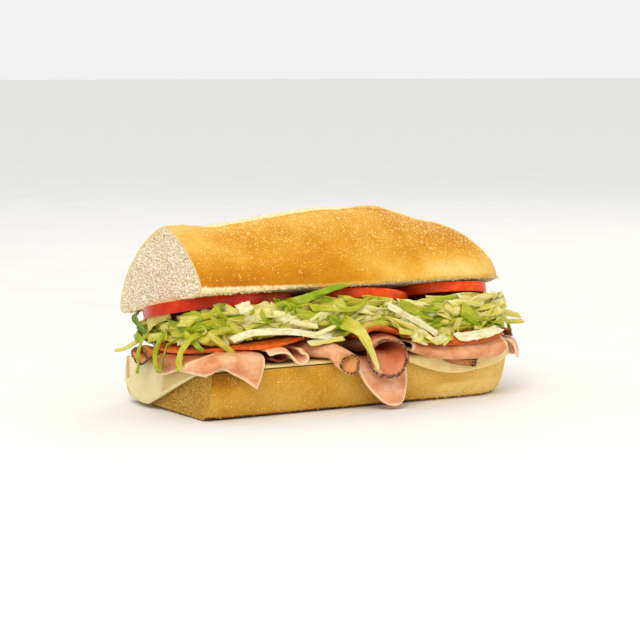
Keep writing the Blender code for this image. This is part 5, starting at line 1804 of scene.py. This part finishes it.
def crumbs(finish):
    """Torn crumbs along the top half's lower front edge."""
    rng = np.random.default_rng(CRUMB_SEED)
    places, sizes = [], []
    for _ in range(CRUMBS):
        x = rng.uniform(CUT_END, 88.0)
        low = lid_section(x, 0.0)[0]
        v = low + abs(rng.normal(0.0, 2.2))
        n = -LID_CRUMB * rng.uniform(0.2, 1.15)
        places.append(from_lid(x, v + 0.4, n))
        sizes.append(rng.uniform(0.2, 0.5 + 0.5 * ease((-50.0 - x) / 40.0)))
    scatter("crumbs", places, sizes, finish, rng)


# Stage


def stage():
    """Pale floor, and the world that lights it all round."""
    reach = FLOOR_REACH
    mesh = bpy.data.meshes.new("floor")
    corners = [(-reach, -reach, 0.0), (reach, -reach, 0.0), (reach, reach, 0.0), (-reach, reach, 0.0)]
    mesh.from_pydata(corners, [], [(0, 1, 2, 3)])
    mesh.materials.append(floor_finish())
    floor = bpy.data.objects.new("floor", mesh)
    bpy.context.scene.collection.objects.link(floor)
    world = bpy.data.worlds.new("studio")
    world.use_nodes = True
    sky = world.node_tree.nodes["Background"].inputs
    sky["Color"].default_value = (1.0, 1.0, 1.0, 1.0)
    sky["Strength"].default_value = SKY_STRENGTH
    bpy.context.scene.world = world


def lights():
    """Two soft warm lamps turned to the sandwich."""
    for name, place, size, power in LAMPS:
        light = bpy.data.lights.new(name, "AREA")
        light.size = size
        light.energy = power
        light.color = LAMP_COLOUR
        lamp = bpy.data.objects.new(name, light)
        lamp.location = place
        lamp.rotation_euler = (SUBJECT - Vector(place)).to_track_quat("-Z", "Y").to_euler()
        bpy.context.scene.collection.objects.link(lamp)


def camera():
    """The photograph's view."""
    back = Vector((math.sin(AZIMUTH) * math.cos(ELEVATION), -math.cos(AZIMUTH) * math.cos(ELEVATION),
                   math.sin(ELEVATION)))
    right = (-back).cross(Vector((0.0, 0.0, 1.0))).normalized()
    up = right.cross(-back)
    aim = SUBJECT - (right * SUBJECT_RIGHT + up * SUBJECT_UP) * (DISTANCE / FOCUS)
    lens = bpy.data.cameras.new("camera")
    lens.sensor_width = SENSOR
    lens.lens = FOCUS * SENSOR / PICTURE
    eye = bpy.data.objects.new("camera", lens)
    turned = Matrix((right, up, back)).transposed().to_4x4()
    eye.matrix_world = Matrix.Translation(aim + back * DISTANCE) @ turned
    bpy.context.scene.collection.objects.link(eye)
    bpy.context.scene.camera = eye


def main():
    """Dress the frame."""
    bottom_crust = crust_finish("crust_bottom", BOTTOM_CRUST)
    top_crust = crust_finish("crust_top", TOP_CRUST)
    # Painted shade: the bottom half's crumb is given darker, more olive colours than the top half's.
    crumb = crumb_finish("crumb_bottom", (146, 102, 32), (184, 140, 56), (214, 174, 92), (200, 150, 56))
    bun_bottom(bottom_crust, crumb)
    crumb = crumb_finish("crumb_top", (168, 138, 96), (232, 212, 174), (255, 252, 240), (236, 204, 128))
    bun_top(top_crust, crumb)
    # Painted light: the slices under the top half take brighter colours than the open one, against their
    # shade.
    open_skin = tomato_finish("tomato_open", (180, 32, 0), (204, 54, 0))
    shaded_skin = tomato_finish("tomato_shaded", (228, 56, 0), (252, 96, 14))
    for slice_sizes in TOMATOES:
        tomato(open_skin if slice_sizes[0] == "tomato_left" else shaded_skin, *slice_sizes)
    cheese_left(cheese_finish("cheese_left", (216, 202, 140), (228, 216, 164)))
    cheese_right(cheese_finish("cheese_right", (232, 200, 124), (242, 220, 154)))
    ham = ham_finish()
    for make in (ham_left, ham_fold, ham_curl, ham_tongue, ham_right, ham_end):
        make(ham)
    pink = ((222, 148, 102), (238, 182, 138))
    # Painted shade: the roll's and the cup's insides take darker, more golden colours than their pink
    # outsides.
    mouths = [ham_roll(peppered_finish("peppered_roll", pink, ((214, 136, 66), (232, 160, 84)))),
              ham_cup(peppered_finish("peppered_cup", pink, ((196, 98, 50), (212, 130, 86))))]
    outside, inside = ((170, 92, 36), (216, 144, 70)), ((196, 112, 52), (226, 152, 84))
    browned = peppered_finish("peppered_ham", outside, inside)
    mouths.append(peppered_roll(browned))
    peppered_end(browned)
    peppered_scrap(browned)
    red = salami_finish("salami", (192, 74, 12), (222, 114, 36), (240, 166, 96))
    # Painted light: the slice at the cut end takes brighter colours than the other salami, against the shade
    # of the lettuce over it.
    salami_left(salami_finish("salami_left", (222, 78, 10), (252, 124, 40), (255, 184, 112)))
    salami_right(red)
    capicola(salami_finish("capicola", (104, 38, 14), (158, 72, 36), (190, 112, 72)))
    onions(onion_finish())
    lettuce(lettuce_finish(), heap_shade_finish())
    cornmeal(grain_finish())
    pepper(pepper_finish(), mouths)
    # Painted light: the loose crumbs take paler colours than the top half's crumb, against the shade under
    # its edge.
    crumbs(crumb_finish("crumb_loose", (228, 196, 136), (244, 222, 172), (255, 242, 208), (240, 214, 156)))
    stage()
    lights()
    camera()
    bpy.context.scene.view_settings.view_transform = "Standard"


main()
